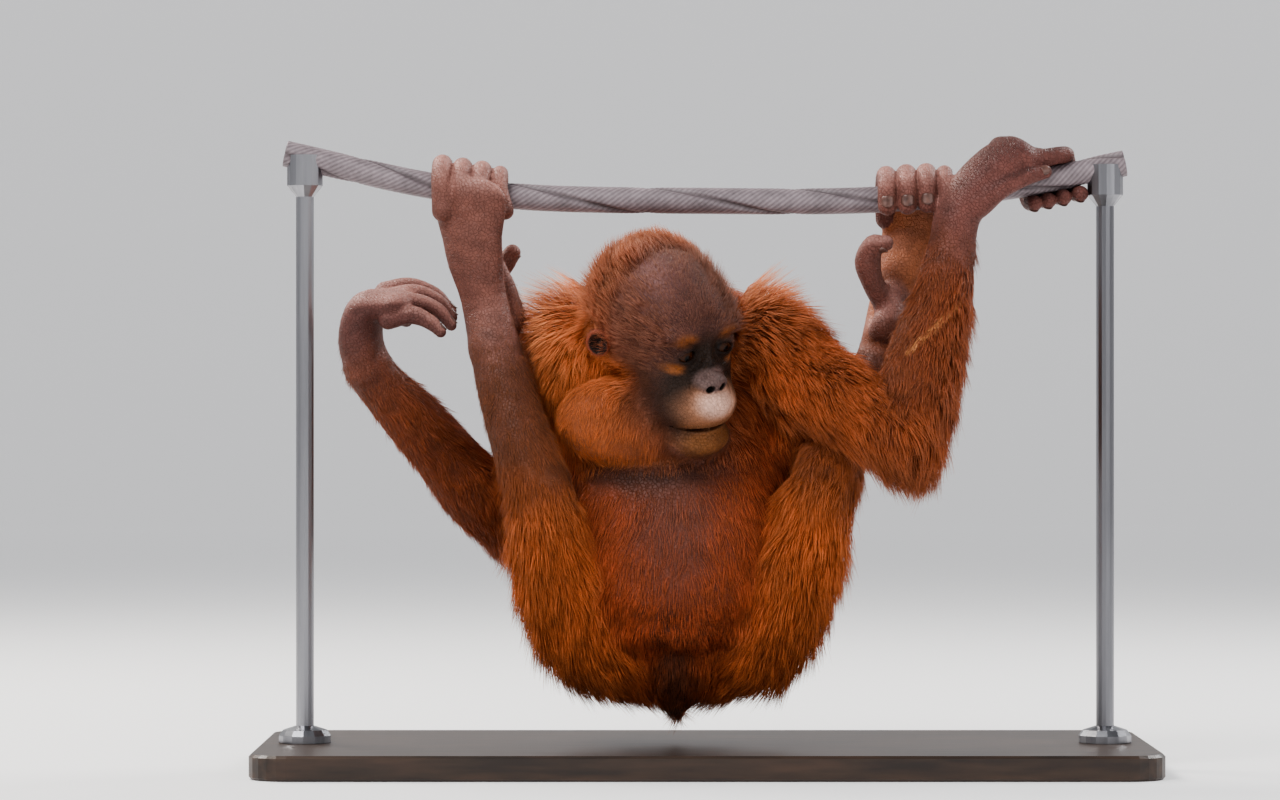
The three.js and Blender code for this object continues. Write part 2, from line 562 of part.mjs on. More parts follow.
// The coat of every haired piece.
const [LEG_RIGHT, LEG_LEFT, ARM_RIGHT, ARM_LEFT] = LIMBS;
const outerSide = (side) => ({ normal }) => normal.x * side > -0.15 || normal.y > 0.5;
const UPPER_ARM = { rows: 3, around: 5, from: 0.08, to: 0.76, run: 1, fall: 0.4, length: 48, width: 34, rise: 8 };
const FOREARM = { rows: 3, around: 5, from: 0.18, to: 0.82, run: -1, fall: 0.25, length: 42, width: 27, rise: 5 };
const THIGH = { rows: 3, around: 6, from: 0.26, to: 0.92, run: -0.75, fall: 0.5, length: 46, width: 28, rise: 8 };
const backOnly = ({ normal, point }) => normal.y > -0.25 && point.z > 70;
const COATS = {
  head: headLocks,
  torso: () => lockRows(trunkTube, CORE.trunk, { rows: 5, around: 10, from: 0.12, to: 1, arc: backOnly,
    run: -1, fall: 0.3, length: 60, width: 41, rise: 10 }),
  neck: () => lockRows(neckTube, CORE.neck, { rows: 2, around: 6, from: 0.3, to: 0.9,
    run: 0.2, fall: 1, length: 34, width: 30, rise: 9 }),
  thigh_right: () => lockRows(LEG_RIGHT.bones[0], CORE.leg[0], { ...THIGH, arc: outerSide(-1) }),
  thigh_left: () => lockRows(LEG_LEFT.bones[0], CORE.leg[0], { ...THIGH, arc: outerSide(1) }),
  upper_arm_right: () => lockRows(ARM_RIGHT.bones[0], CORE.arm[0], UPPER_ARM),
  forearm_right: () => lockRows(ARM_RIGHT.bones[1], CORE.arm[1], FOREARM),
  upper_arm_left: () => lockRows(ARM_LEFT.bones[0], CORE.arm[0], { ...UPPER_ARM, rows: 4, from: 0.25, to: 0.9 }),
  forearm_left: () => lockRows(ARM_LEFT.bones[1], CORE.arm[1], FOREARM),
};

// Display stand: a flat base, and a rod at each end with a foot and a cup that the rope lies in.
function standBase() {
  const { long, deep, high, corner, bevel } = BASE_SIZE;
  const [x, y] = [long / 2 - bevel, deep / 2 - bevel];
  const outline = new THREE.Shape();
  outline.moveTo(-x + corner, -y);
  outline.lineTo(x - corner, -y);
  outline.absarc(x - corner, -y + corner, corner, -Math.PI / 2, 0);
  outline.absarc(x - corner, y - corner, corner, 0, Math.PI / 2);
  outline.absarc(-x + corner, y - corner, corner, Math.PI / 2, Math.PI);
  outline.absarc(-x + corner, -y + corner, corner, Math.PI, Math.PI * 1.5);
  const options = { depth: high - bevel * 2, bevelSize: bevel, bevelThickness: bevel, bevelSegments: 1 };
  const slab = new THREE.ExtrudeGeometry(outline, { ...options, curveSegments: 3 });
  return solidOf(slab.translate(0, 0, bevel));
}

function standRod(side, ropeSpace) {
  const x = side * ROD.x;
  const low = BASE_SIZE.high + GAP;
  const high = ropeHeight(x) + 2;
  const profile = [
    [0, low], [ROD.foot, low], [ROD.foot, low + 5], [ROD.foot - 3, low + ROD.footHigh],
    [ROD.radius, low + ROD.footHigh + 3], [ROD.radius, high - ROD.cupHigh - 8],
    [ROD.cup, high - ROD.cupHigh], [ROD.cup, high], [0, high],
  ].map(([r, z]) => new THREE.Vector2(r, z));
  const turned = new THREE.LatheGeometry(profile, 14).rotateX(Math.PI / 2).translate(x, 0, 0);
  return largest(solidOf(turned).subtract(ropeSpace));
}

// Assembly. Each piece is cut clear of those made before it.
const group = new THREE.Group();
function addPart(name, solid, color, roughness, metalness = 0) {
  const mesh = largest(solid.simplify(FINEST)).getMesh();
  const geometry = new THREE.BufferGeometry();
  const positions = new Float32Array(mesh.numVert * 3);
  for (let i = 0; i < mesh.numVert; i++) {
    for (let k = 0; k < 3; k++) positions[i * 3 + k] = mesh.vertProperties[i * mesh.numProp + k];
  }
  geometry.setAttribute("position", new THREE.BufferAttribute(positions, 3));
  geometry.setIndex([...mesh.triVerts]);
  const material = new THREE.MeshStandardMaterial({ color, roughness, metalness });
  const node = new THREE.Mesh(geometry, material);
  node.name = name;
  group.add(node);
}

const COLOURS = {
  body: 0xa8431a, belly: 0x6b2c1a, head: 0x6a3a28, hand: 0x5a3a34, eye: 0x1c100a,
  rope: 0x4a4048, base: 0x2c241f, rod: 0x8c8c90,
};

const ropeSpace = rope(GAP);
addPart("rope", rope(0), COLOURS.rope, 0.8);
addPart("stand_base", standBase(), COLOURS.base, 0.5);
for (const [name, side] of [["right", -1], ["left", 1]]) {
  addPart(`stand_rod_${name}`, standRod(side, ropeSpace), COLOURS.rod, 0.35, 1);
}

// The body's bare cores, each cut clear of those before it, and the space that each takes up.
const cores = new Map();
const spaces = new Map([["rope", ropeSpace]]);
function addCore(name, solid, space) {
  cores.set(name, largest(solid.subtract(join([...spaces.values()]))));
  spaces.set(name, space);
}

const eyes = [["right", 1], ["left", -1]];
for (const [name, side] of eyes) addPart(`eye_${name}`, eyeAt(side, 0), COLOURS.eye, 0.15);
const eyeSpaces = eyes.map(([, side]) => eyeAt(side, GAP));
addCore("head", headSkin(0).subtract(join([...eyeSpaces, faceCuts()])), headSkin(GAP));
for (const [name, side] of eyes) addCore(`ear_${name}`, earAt(side, 0), earAt(side, GAP));
addCore("torso", trunkSkin(0), trunkSkin(GAP));
addCore("neck", neckSkin(0), neckSkin(GAP));
for (const bones of LIMBS) {
  const whole = limbSkin(bones, 0).subtract(join([...spaces.values()]));
  const parts = partLimb(whole, bones, GAP);
  const partSpaces = partLimb(limbSkin(bones, GAP), bones, -GAP);
  bones.names.forEach((name, i) => {
    cores.set(name, parts[i]);
    spaces.set(name, partSpaces[i]);
  });
}

// Each core with its coat. The locks are cut clear of every other core and of the coats made before.
const boneOf = new Map(LIMBS.flatMap(({ names, bones }) => names.map((name, i) => [name, bones[i]])));
const forms = new Map([["torso", trunkTube], ["neck", neckTube], ...boneOf]);
const buried = (point, own) => [...forms].some(([name, form]) => name !== own && form.covers(point, 4));
const lockSpaces = [];
for (const [name, core] of cores) {
  let solid = core;
  if (COATS[name]) {
    const locks = COATS[name]().filter(({ root }) => !buried(root, name));
    const others = [...spaces].filter(([other]) => other !== name).map(([, space]) => space);
    const hair = join(locks.map((lock) => lockSolid(lock, 0))).subtract(join([...others, ...lockSpaces]));
    solid = largest(join([core, hair]));
    lockSpaces.push(...locks.map((lock) => lockSolid(lock, LOCK_GAP)));
  }
  const bare = /hand|foot/.test(name);
  const color = bare ? COLOURS.hand : /head|ear/.test(name) ? COLOURS.head : COLOURS.body;
  addPart(name, solid, color, 0.9);
}

export default group;
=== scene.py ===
# A young orangutan at life size, hanging from a short length of twisted rope by both feet and its left hand.
# Shapes are worked out in millimetres, in the frame's own axes, and are placed in metres.
import math
import bpy
import numpy as np
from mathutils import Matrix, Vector, kdtree


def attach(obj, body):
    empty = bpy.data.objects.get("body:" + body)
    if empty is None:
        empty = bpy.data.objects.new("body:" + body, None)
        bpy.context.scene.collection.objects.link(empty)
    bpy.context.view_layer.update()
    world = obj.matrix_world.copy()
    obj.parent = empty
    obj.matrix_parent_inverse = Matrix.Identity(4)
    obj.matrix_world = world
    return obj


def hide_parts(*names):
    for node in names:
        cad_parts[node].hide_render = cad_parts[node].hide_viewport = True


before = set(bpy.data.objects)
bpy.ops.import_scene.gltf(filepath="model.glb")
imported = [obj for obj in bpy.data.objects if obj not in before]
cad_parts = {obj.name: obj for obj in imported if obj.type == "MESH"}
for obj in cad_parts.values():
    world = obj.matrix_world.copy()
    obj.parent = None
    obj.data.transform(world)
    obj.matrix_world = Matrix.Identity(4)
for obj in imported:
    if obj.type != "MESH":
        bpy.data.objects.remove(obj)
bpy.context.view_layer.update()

MM = 0.001
UP = np.array([0.0, 0.0, 1.0])
ACROSS = (1, 0, 0)
SEED = 417
rng = np.random.default_rng(SEED)


def unit(v):
    return v / np.maximum(np.linalg.norm(v, axis=-1, keepdims=True), 1e-9)


def ramp(x, low, high):
    """0 below low, 1 above high, smooth between."""
    t = np.clip((x - low) / (high - low), 0, 1)
    return t * t * (3 - 2 * t)


def bell(x, middle, width):
    return np.exp(-(((x - middle) / width) ** 2))


def mix(a, b, t):
    return a + (b - a) * t


def soft_min(a, b, k):
    h = np.maximum(k - np.abs(a - b), 0) / k
    return np.minimum(a, b) - h * h * k / 4


def carve(a, b, k):
    """Takes b out of a, with an edge rounded by k."""
    return -soft_min(-a, b, k)


class Waves:
    """Smooth seeded noise from -1 to 1 with bumps about this size in millimetres."""

    def __init__(self, size, seed, count=14):
        draw = np.random.default_rng(seed)
        way = unit(draw.normal(size=(count, 3)))
        self.way = way * (2 * math.pi / (size * draw.uniform(0.7, 1.6, (count, 1))))
        self.shift = draw.uniform(0, 2 * math.pi, count)

    def __call__(self, p):
        return np.sin(p @ self.way.T + self.shift).mean(axis=1) * 2.2


# Forms. Each gives the distance from its surface, below zero inside, and a box outside which it isn't asked.
CHUNK = 60000


def egg_distance(q, half):
    near = np.linalg.norm(q / half, axis=1)
    slope = np.linalg.norm(q / (half * half), axis=1)
    return near * (near - 1) / np.maximum(slope, 1e-6)


class Egg:
    def __init__(self, centre, half, axes=None):
        self.centre = np.array(centre, float)
        self.half = np.array(half, float)
        self.axes = np.eye(3) if axes is None else axes
        reach = np.abs(self.axes) @ self.half
        self.box = (self.centre - reach, self.centre + reach)

    def distance(self, p):
        return egg_distance((p - self.centre) @ self.axes, self.half)


def smooth_line(points, steps):
    """Points along a smooth line through the given ones, eased by the square roots of their gaps."""
    p = np.vstack([2 * points[0] - points[1], points, 2 * points[-1] - points[-2]])
    out = []
    for i in range(1, len(p) - 2):
        gaps = [np.linalg.norm(p[j + 1] - p[j]) ** 0.5 for j in (i - 1, i, i + 1)]
        a, b, c = gaps
        start = (p[i] - p[i - 1]) / a - (p[i + 1] - p[i - 1]) / (a + b) + (p[i + 1] - p[i]) / b
        end = (p[i + 1] - p[i]) / b - (p[i + 2] - p[i]) / (b + c) + (p[i + 2] - p[i + 1]) / c
        start, end = start * b, end * b
        for t in np.arange(steps) / steps:
            square, cube = t * t, t * t * t
            rise = 3 * square - 2 * cube
            middle = p[i] * (1 - rise) + p[i + 1] * rise
            out.append(middle + start * (cube - 2 * square + t) + end * (cube - square))
    return np.array(out + [p[-2]])


class Tube:
    """Oval rings along a smooth line through stations [x, y, z, half width, half depth]."""

    def __init__(self, stations, wide=ACROSS, steps=4):
        rows = np.array([[*s, s[3]] if len(s) == 4 else s for s in stations], float)
        self.line = smooth_line(rows[:, :3], steps)
        last = len(rows) - 1
        share = np.linspace(0, last, len(self.line))
        low = np.minimum(share.astype(int), last - 1)
        t = ramp(share - low, 0, 1)[:, None]
        self.size = mix(rows[low, 3:5], rows[low + 1, 3:5], t)
        self.along = unit(np.gradient(self.line, axis=0))
        self.side = np.zeros_like(self.line)
        before = np.array(wide, float)
        for i, way in enumerate(self.along):
            before = unit(before - way * (before @ way))
            self.side[i] = before
        self.deep = np.cross(self.along, self.side)
        reach = self.size.max()
        self.box = (self.line.min(0) - reach, self.line.max(0) + reach)

    def trace(self, p):
        """Distance, with the nearest share of the line and the offsets from it sideways and deep."""
        a, way = self.line[:-1], np.diff(self.line, axis=0)
        long = (way**2).sum(1)
        ahead = p @ way.T - (a * way).sum(1)
        t = np.clip(ahead / long, 0, 1)
        i = ((a**2).sum(1) - 2 * (p @ a.T) - 2 * t * ahead + t * t * long).argmin(1)
        t = t[np.arange(len(p)), i][:, None]
        middle, along, side, deep, size = (
            v[i] + (v[i + 1] - v[i]) * t for v in (self.line, self.along, self.side, self.deep, self.size))
        q = p - middle
        offset = np.stack([(q * side).sum(1), (q * deep).sum(1), (q * along).sum(1)], 1)
        half = np.concatenate([size, size.mean(1, keepdims=True)], 1)
        where = np.stack([(i + t[:, 0]) / (len(self.line) - 1), offset[:, 0], offset[:, 1]], 1)
        return egg_distance(offset, half), where

    def distance(self, p):
        return self.trace(p)[0]

    def ring(self, u):
        """Middle, direction, side, deep and half sizes at share u of the line."""
        at = u * (len(self.line) - 1)
        i = min(int(at), len(self.line) - 2)
        values = (self.line, self.along, self.side, self.deep, self.size)
        return [mix(v[i], v[i + 1], at - i) for v in values]

    def at(self, u, phi, grow=0.0):
        middle, _, side, deep, (w, d) = self.ring(u)
        return middle + side * math.cos(phi) * (w + grow) + deep * math.sin(phi) * (d + grow)


class Cluster:
    """Several forms that meet with only a crease between them."""

    def __init__(self, forms, crease=1.2):
        self.forms = forms
        self.crease = crease
        boxes = np.array([f.box for f in forms])
        self.box = (boxes[:, 0].min(0), boxes[:, 1].max(0))

    def distance(self, p):
        d = self.forms[0].distance(p)
        for form in self.forms[1:]:
            d = soft_min(d, form.distance(p), self.crease)
        return d


# Head. x is to the animal's right, y forward, z up.
HEAD_CENTRE = np.array([-32.0, -46.0, 325.0])
HEAD_TURN = {"yaw": 40, "pitch": 20, "roll": 13}
EYE = np.array([16.5, 44.0, -9.0])
EYE_RADIUS = 10.0


def turned(v, axis, degrees):
    a = math.radians(degrees)
    axis = unit(np.array(axis, float))
    v = np.array(v, float)
    return v * math.cos(a) + np.cross(axis, v) * math.sin(a) + axis * (axis @ v) * (1 - math.cos(a))


def head_axes():
    forward = turned((0, 1, 0), ACROSS, -HEAD_TURN["pitch"])
    up = turned((0, 0, 1), ACROSS, -HEAD_TURN["pitch"])
    forward = turned(forward, (0, 0, 1), 180 + HEAD_TURN["yaw"])
    up = turned(turned(up, (0, 0, 1), 180 + HEAD_TURN["yaw"]), forward, HEAD_TURN["roll"])
    return np.stack([np.cross(forward, up), forward, up], axis=1)


HEAD_AXES = head_axes()
HEAD_FORMS = [
    # centre, half sizes, blend
    ((0, -2, 3), (43.5, 51, 47), 1),  # braincase
    ((0, 33, 4), (31.5, 19.5, 21), 14),  # forehead
    ((0, 34, -30), (32.5, 25.5, 34), 16),  # cheeks
    ((0, 14, -58), (35, 30, 27), 14),  # jaw
    ((0, 45, -52), (28, 23, 22), 12),  # muzzle
    ((0, 54, -48), (23.5, 18.5, 14.8), 8),  # upper lip
    ((0, 49, -76.5), (24.5, 18.5, 14), 6),  # lower lip and chin
    ((0, 50, -19), (7, 9, 13), 8),  # bridge of the nose
    ((0, 63, -29), (8, 6, 5.5), 5),  # tip of the nose
    ((-7.5, 61, -30), (4.5, 5, 4.5), 4),  # wings of the nose
    ((7.5, 61, -30), (4.5, 5, 4.5), 4),
]
BROW = ((17, 47.5, 5), (15, 8, 5.5), 7)
SOCKET = ((17, 60, -9), (13, 11, 10), 7)
LID_THICK = 1.9
SLIT = ((16.5, 54, -9), (7, 9, 3.5), 8)
NOSTRIL = ((5.2, 66, -32), (2.8, 4.5, 2.6))
MOUTH = Tube([[-21, 48, -63, 6, 0.7], [-16, 56.5, -63.2, 7, 1.2], [-9, 62.5, -63.4, 7, 1.6],
              [0, 65, -63.5, 7, 1.7], [9, 62.5, -63.4, 7, 1.6], [16, 56.5, -63.2, 7, 1.2],
              [21, 48, -63, 6, 0.7]], (0, 1, 0), 4)


def to_head(p):
    return (p - HEAD_CENTRE) @ HEAD_AXES


def face_folds(q):
    """How deep the creases round the eyes, nose and mouth go in, in millimetres."""
    x, y, z = np.abs(q[:, 0]), q[:, 1], q[:, 2]
    front = ramp(y, 34, 42)
    round_eye = np.hypot(x - EYE[0], (z - EYE[2]) * 1.12)
    below = ramp(EYE[2] - z, -1, 4)
    above = ramp(z - EYE[2], 0, 4)
    fold = 0.75 * below * (bell(round_eye, 12.6, 0.9) + 0.8 * bell(round_eye, 15.8, 1.0))
    fold = fold + 0.45 * below * bell(round_eye, 19.5, 1.2) + 0.6 * above * bell(round_eye, 9.8, 0.8)
    nose_side = np.hypot(x - 2, (z + 34) * 0.7)
    fold = fold + 0.9 * bell(nose_side, 13.5, 1.4) * ramp(x, 5, 10) * ramp(-z, 22, 30)
    cheek = np.hypot(x, (z + 52) * 0.9)
    fold = fold + 0.8 * bell(cheek, 31, 1.6) * ramp(-z, 34, 46)
    fold = fold + 0.35 * bell(x, 0, 1.4) * ramp(-z, 36, 39) * ramp(z, -58, -52)
    return fold * front


def head_distance(p):
    q = to_head(p)
    d = np.full(len(q), 1e3)
    for centre, half, blend in HEAD_FORMS:
        d = soft_min(d, egg_distance(q - centre, np.array(half, float)), blend)
    mirrored = q * [1, 1, 1]
    mirrored[:, 0] = np.abs(mirrored[:, 0])
    for (centre, half, blend), join in ((BROW, soft_min), (SOCKET, carve)):
        d = join(d, egg_distance(mirrored - centre, np.array(half, float)), blend)
    eye_gap = np.linalg.norm(mirrored - EYE, axis=1)
    d = soft_min(d, eye_gap - EYE_RADIUS - LID_THICK, 2.5)
    d = d + face_folds(q)
    centre, half, tilt = SLIT
    from_slit = mirrored - centre
    c, s = math.cos(math.radians(tilt)), math.sin(math.radians(tilt))
    slanted = np.stack([from_slit[:, 0] * c - from_slit[:, 2] * s, from_slit[:, 1],
                        from_slit[:, 0] * s + from_slit[:, 2] * c], 1)
    d = carve(d, egg_distance(slanted, np.array(half, float)), 1.2)
    d = carve(d, egg_distance(mirrored - NOSTRIL[0], np.array(NOSTRIL[1], float)), 1.2)
    near_mouth = (q[:, 1] > 30) & (np.abs(q[:, 2] + 63) < 20)
    d[near_mouth] = carve(d[near_mouth], MOUTH.distance(q[near_mouth]), 1.5)
    return d


class Head:
    box = (HEAD_CENTRE - 95, HEAD_CENTRE + 95)

    def distance(self, p):
        return head_distance(p)


EAR_PLACE = np.array([46.5, -11.0, -15.0])
EAR_TURN = {"out": 32, "tip": 12}


class Ear:
    """A small round dish with a rolled rim, open outwards and forwards, with its root in the head."""

    def __init__(self, side):
        self.side = side
        a, b = math.radians(side * EAR_TURN["out"]), math.radians(EAR_TURN["tip"])
        flat = np.array([[math.cos(a), -math.sin(a), 0], [math.sin(a), math.cos(a), 0], [0, 0, 1]])
        tip = np.array([[1, 0, 0], [0, math.cos(b), -math.sin(b)], [0, math.sin(b), math.cos(b)]])
        self.axes = flat @ tip
        centre = HEAD_CENTRE + HEAD_AXES @ (EAR_PLACE * [side, 1, 1])
        self.box = (centre - 20, centre + 20)

    def local(self, p):
        return ((to_head(p) - EAR_PLACE * [self.side, 1, 1]) @ self.axes) * [self.side, 1, 1]

    def dish(self, out):
        return egg_distance(out - [4.4, 1.2, 0], np.array([5.2, 6.6, 7.6]))

    def distance(self, p):
        out = self.local(p)
        shell = egg_distance(out, np.array([5.6, 9.4, 10.2]))
        lobe = egg_distance(out - [3.3, 6.4, -2], np.array([2, 2.4, 3.2]))
        return soft_min(carve(shell, self.dish(out), 1.6), lobe, 2)


# Rope's middle line, sagging under the animal's weight.
ROPE_RADIUS = 9.5
ROPE_TURN = 210  # length of one turn of the twist
ROPE_GROOVE = 1.9
SAG = [[-302, 442], [-198, 419], [-133, 411], [-4, 408], [126, 409], [220, 418.5], [302, 435]]
ROPE_LINE = smooth_line(np.array([[x, 0, z] for x, z in SAG], float), 24)


def rope_height(x):
    return float(np.interp(x, ROPE_LINE[:, 0], ROPE_LINE[:, 2]))


def grip_digit(root, x, side, angles, radius, lean=0):
    """A digit bent round the rope, from its root on through these angles; 90 is the rope's top."""
    reach = ROPE_RADIUS + radius
    stations = [[*root, radius * 1.05]]
    for i, angle in enumerate(angles):
        share = i / (len(angles) - 1)
        place = x + lean * share
        c, s = math.cos(math.radians(angle)), math.sin(math.radians(angle))
        centre = [place, side * c * reach, rope_height(place) + s * reach]
        stations.append([*centre, radius * (1 - 0.08 * share)])
    return Tube(stations, ACROSS)


def free_finger(x, y, z, sway, reach, drop):
    return Tube([[x, y, z, 7], [x + 17, y + sway * 0.3, z + 3.5, 6.6],
                 [x + 33 + reach * 0.5, y + sway * 0.6, z - 2, 5.4],
                 [x + 43 + reach, y + sway, z - drop, 3.9]], (0, -0.7, -0.7))


# Body, as in the frame's solids: [x, y, z, half width, half depth].
TRUNK = Tube([[-20, 6, 88, 44, 38], [-20, 4, 104, 66, 54], [-20, 2, 132, 78, 62], [-20, 4, 166, 82, 63],
              [-20, 10, 204, 82, 57], [-22, 18, 240, 80, 50], [-24, 28, 274, 72, 45],
              [-28, 32, 306, 52, 36]])
RUMP = Tube([[-21, 0, 66, 22, 19], [-21, -2, 50, 11, 9], [-21, -3, 43, 6, 5]])
NECK = Tube([[-25, 34, 292, 40, 32], [-28, 12, 304, 42, 36], [-32, -14, 312, 40, 36]])
THROAT = Egg((-50, -33, 250), (56, 27, 32))
CHEEK = Egg((-88, -6, 272), (29, 24, 38))
ARMPIT = Egg((64, 2, 238), (17, 22, 26))
BONES = {
    "thigh_right": Tube([[-48, 8, 80, 30, 32], [-80, -10, 94, 31, 33], [-101, -26, 132, 29, 31],
                         [-113, -40, 176, 25, 26], [-119, -42, 204, 22, 22]]),
    "shin_right": Tube([[-119, -42, 204, 22, 22], [-130, -38, 232, 22, 23], [-142, -28, 270, 20, 20],
                        [-151, -18, 302, 18, 17]]),
    "foot_right": Tube([[-151, -18, 302, 18, 17], [-159, -14, 338, 17, 13], [-166, -17, 372, 22, 11],
                        [-168.5, -19.5, 406, 28, 8.5]], (0.9, -0.42, 0)),
    "thigh_left": Tube([[8, 8, 82, 30, 32], [38, -10, 94, 31, 33], [59, -26, 132, 29, 31],
                        [76, -36, 180, 25, 26], [88, -30, 214, 22, 22]]),
    "shin_left": Tube([[88, -30, 214, 22, 22], [102, -12, 244, 21, 22], [118, 6, 276, 18, 19],
                       [128, 14, 298, 16, 17]]),
    "foot_left": Tube([[128, 14, 298, 16, 17], [134, 18, 330, 16, 13], [143, 20, 364, 18, 11],
                       [151, 20, 396, 22, 9]], (0.94, -0.34, 0)),
    "upper_arm_right": Tube([[-92, 28, 297, 35, 35], [-110, 42, 256, 31, 31], [-127, 62, 206, 26, 26],
                             [-139, 80, 170, 22, 22]], (0, 1, 0)),
    "forearm_right": Tube([[-139, 80, 170, 22, 22], [-164, 68, 194, 25, 25], [-200, 42, 238, 21, 21],
                           [-236, 14, 278, 17, 17], [-243, 8, 288, 17, 16]], (0.55, 0, 0.6)),
    "hand_right": Tube([[-243, 8, 288, 17, 16], [-248, 2, 308, 19, 15.5], [-243, -4, 330, 21, 13],
                        [-222, -10, 334, 21, 9]], (-0.2, -0.66, -0.72)),
    "upper_arm_left": Tube([[0, 20, 270, 34, 34], [40, 8, 296, 35, 34], [72, -20, 278, 31, 30],
                            [100, -48, 262, 28, 27], [124, -68, 247, 26, 25], [140, -76, 238, 25, 25]],
                           (-0.3, 0.1, 0.9)),
    "forearm_left": Tube([[140, -76, 238, 25, 25], [147, -65, 262, 28, 26], [157, -48, 298, 26, 23],
                          [168, -31, 334, 20.5, 18], [176, -20, 370, 17, 14]]),
    "hand_left": Tube([[176, -20, 370, 17, 14], [181, -20, 398, 17.5, 13], [195, -20, 418, 19, 13],
                       [210, -17, 432, 19.5, 12], [221, -13, 440, 18, 10]], (0.75, -0.5, -0.38)),
}
SHOULDER = Tube([[-50, 26, 274, 33, 33], [-76, 27, 290, 34, 34]], (0, 1, 0))
HEELS = {
    "foot_right": Tube([[-149, -6, 312, 12, 11], [-141, 0, 322, 11, 10], [-144, 0, 342, 9, 9],
                        [-150, -2, 360, 7, 7]]),
    "foot_left": Tube([[129, 10, 312, 13, 12], [131, 1, 316, 12, 11], [136, 10, 340, 9, 9]]),
}
THUMBS = {
    "foot_right": Tube([[-159, 4, 338, 8, 7], [-152, 9, 352, 7.5, 7], [-144, 10, 364, 7.5, 7],
                        [-139, 9, 371, 6, 6]]),
    "foot_left": Tube([[131, 8, 333, 10, 8.5], [121, 0, 349, 9, 8], [117, -5, 364, 10.5, 9.5],
                       [121, -11, 375, 9, 8], [129, -14, 377, 6.5, 5.5]], (0.2, 1, 0.1)),
    "hand_right": Tube([[-249, 14, 314, 8, 7], [-238, 22, 324, 6.5, 6], [-225, 22, 325, 5.6, 5.2],
                        [-216, 20, 322, 4.8, 4.6]], (0, 1, 0)),
    "hand_left": Tube([[196, -28, 404, 8.5, 7.5], [213, -32, 416, 6.5, 6], [230, -28, 424, 5.8, 5.5],
                       [243, -22, 428, 5, 4.8]], (0.5, 0, -0.8)),
}
TOES_RIGHT = [(-189, 7.4), (-174.5, 7.4), (-160.5, 7.2), (-147.5, 6)]
TOES_LEFT = [(130.5, 7.4), (144.8, 7.6), (159.2, 7.4), (172.3, 6)]
FINGERS_RIGHT = [[-231, 8, 343, 4, 5, 14], [-227, -2, 338, 0, 2, 14], [-225, -12, 331, -4, 0, 13],
                 [-227, -21, 322, -9, -5, 9]]
FINGERS_LEFT = [[232, -17, 436, 258], [226, -13, 441, 246], [219, -9, 445, 235], [211, -4, 447, 225]]
FINGER_RADIUS = 6.2
DIGITS = {
    "foot_right": [grip_digit([x + 1 + i, -19 + i * 0.6, 400], x, -1, [14, 55, 100, 145, 192], radius)
                   for i, (x, radius) in enumerate(TOES_RIGHT)],
    "foot_left": [grip_digit([x + 1, 20, 396], x, 1, [12, 55, 100, 145, 200], radius)
                  for x, radius in TOES_LEFT],
    "hand_right": [free_finger(*row) for row in FINGERS_RIGHT],
    "hand_left": [grip_digit(root, place, -1, [78, 125, 180, 235, 285], FINGER_RADIUS, 12)
                  for *root, place in FINGERS_LEFT],
}

# The order in which forms are blended, each with how softly.
ORDER = [(TRUNK, 1), (RUMP, 10), (NECK, 18), (SHOULDER, 16)]
ORDER += [(BONES["upper_arm_right"], 14), (BONES["upper_arm_left"], 14), (ARMPIT, 12)]
ORDER += [(BONES["forearm_right"], 5), (BONES["forearm_left"], 5), (CHEEK, 22), (THROAT, 6), (Head(), 9)]
ORDER += [(Ear(1), 2), (Ear(-1), 2), (BONES["thigh_right"], 9), (BONES["thigh_left"], 9)]
ORDER += [(BONES["shin_right"], 5), (BONES["shin_left"], 5)]
ORDER += [(BONES[name], 4) for name in DIGITS]
ORDER += [(HEELS[name], 5) for name in HEELS]
ORDER += [(Cluster([THUMBS[name]]), 4) for name in DIGITS]
NAVEL = Egg((-24, -57, 106), (4.5, 7, 3))
TENDON_LINE = [BONES["forearm_left"].at(0.42 + 0.1 * i, math.radians(22 * i - 116), -0.5)
               for i in range(4)]
TENDON = Tube([[*place, 1.7 - 0.2 * i, 1.3] for i, place in enumerate(TENDON_LINE)])
ORDER += [(Cluster(DIGITS[name], 1.5), 4) for name in DIGITS]
ORDER += [(TENDON, 3)]
MARGIN = 14


def inside_box(p, box, margin):
    return ((p > box[0] - margin) & (p < box[1] + margin)).all(axis=1)


def surface(p):
    """Distance of points from the whole skin."""
    d = np.full(len(p), 1e3)
    for form, blend in ORDER:
        near = np.nonzero(inside_box(p, form.box, MARGIN))[0]
        for part in np.array_split(near, max(1, len(near) // CHUNK)):
            if len(part):
                d[part] = soft_min(d[part], form.distance(p[part]), blend)
    near = inside_box(p, NAVEL.box, MARGIN)
    d[near] = carve(d[near], NAVEL.distance(p[near]), 3)
    return d


def slopes(f, p, h=0.25):
    """The value and the slope of f at each point."""
    total, value = np.zeros_like(p), np.zeros(len(p))
    for way in ((1, 1, 1), (1, -1, -1), (-1, 1, -1), (-1, -1, 1)):
        way = np.array(way, float)
        here = f(p + way * h)
        total += way * here[:, None]
        value += here / 4
    return value, total / (4 * h)


def settle(p, times):
    """Slides points on to the skin."""
    for _ in range(times):
        d, slope = slopes(surface, p)
        step = d[:, None] * slope / np.maximum((slope**2).sum(1, keepdims=True), 0.1)
        p = p - np.clip(step, -2, 2)
    return p


# Mesh of the skin.
GRID = 2.6
LOW = np.array([-282.0, -128.0, 28.0])
HIGH = np.array([284.0, 122.0, 474.0])


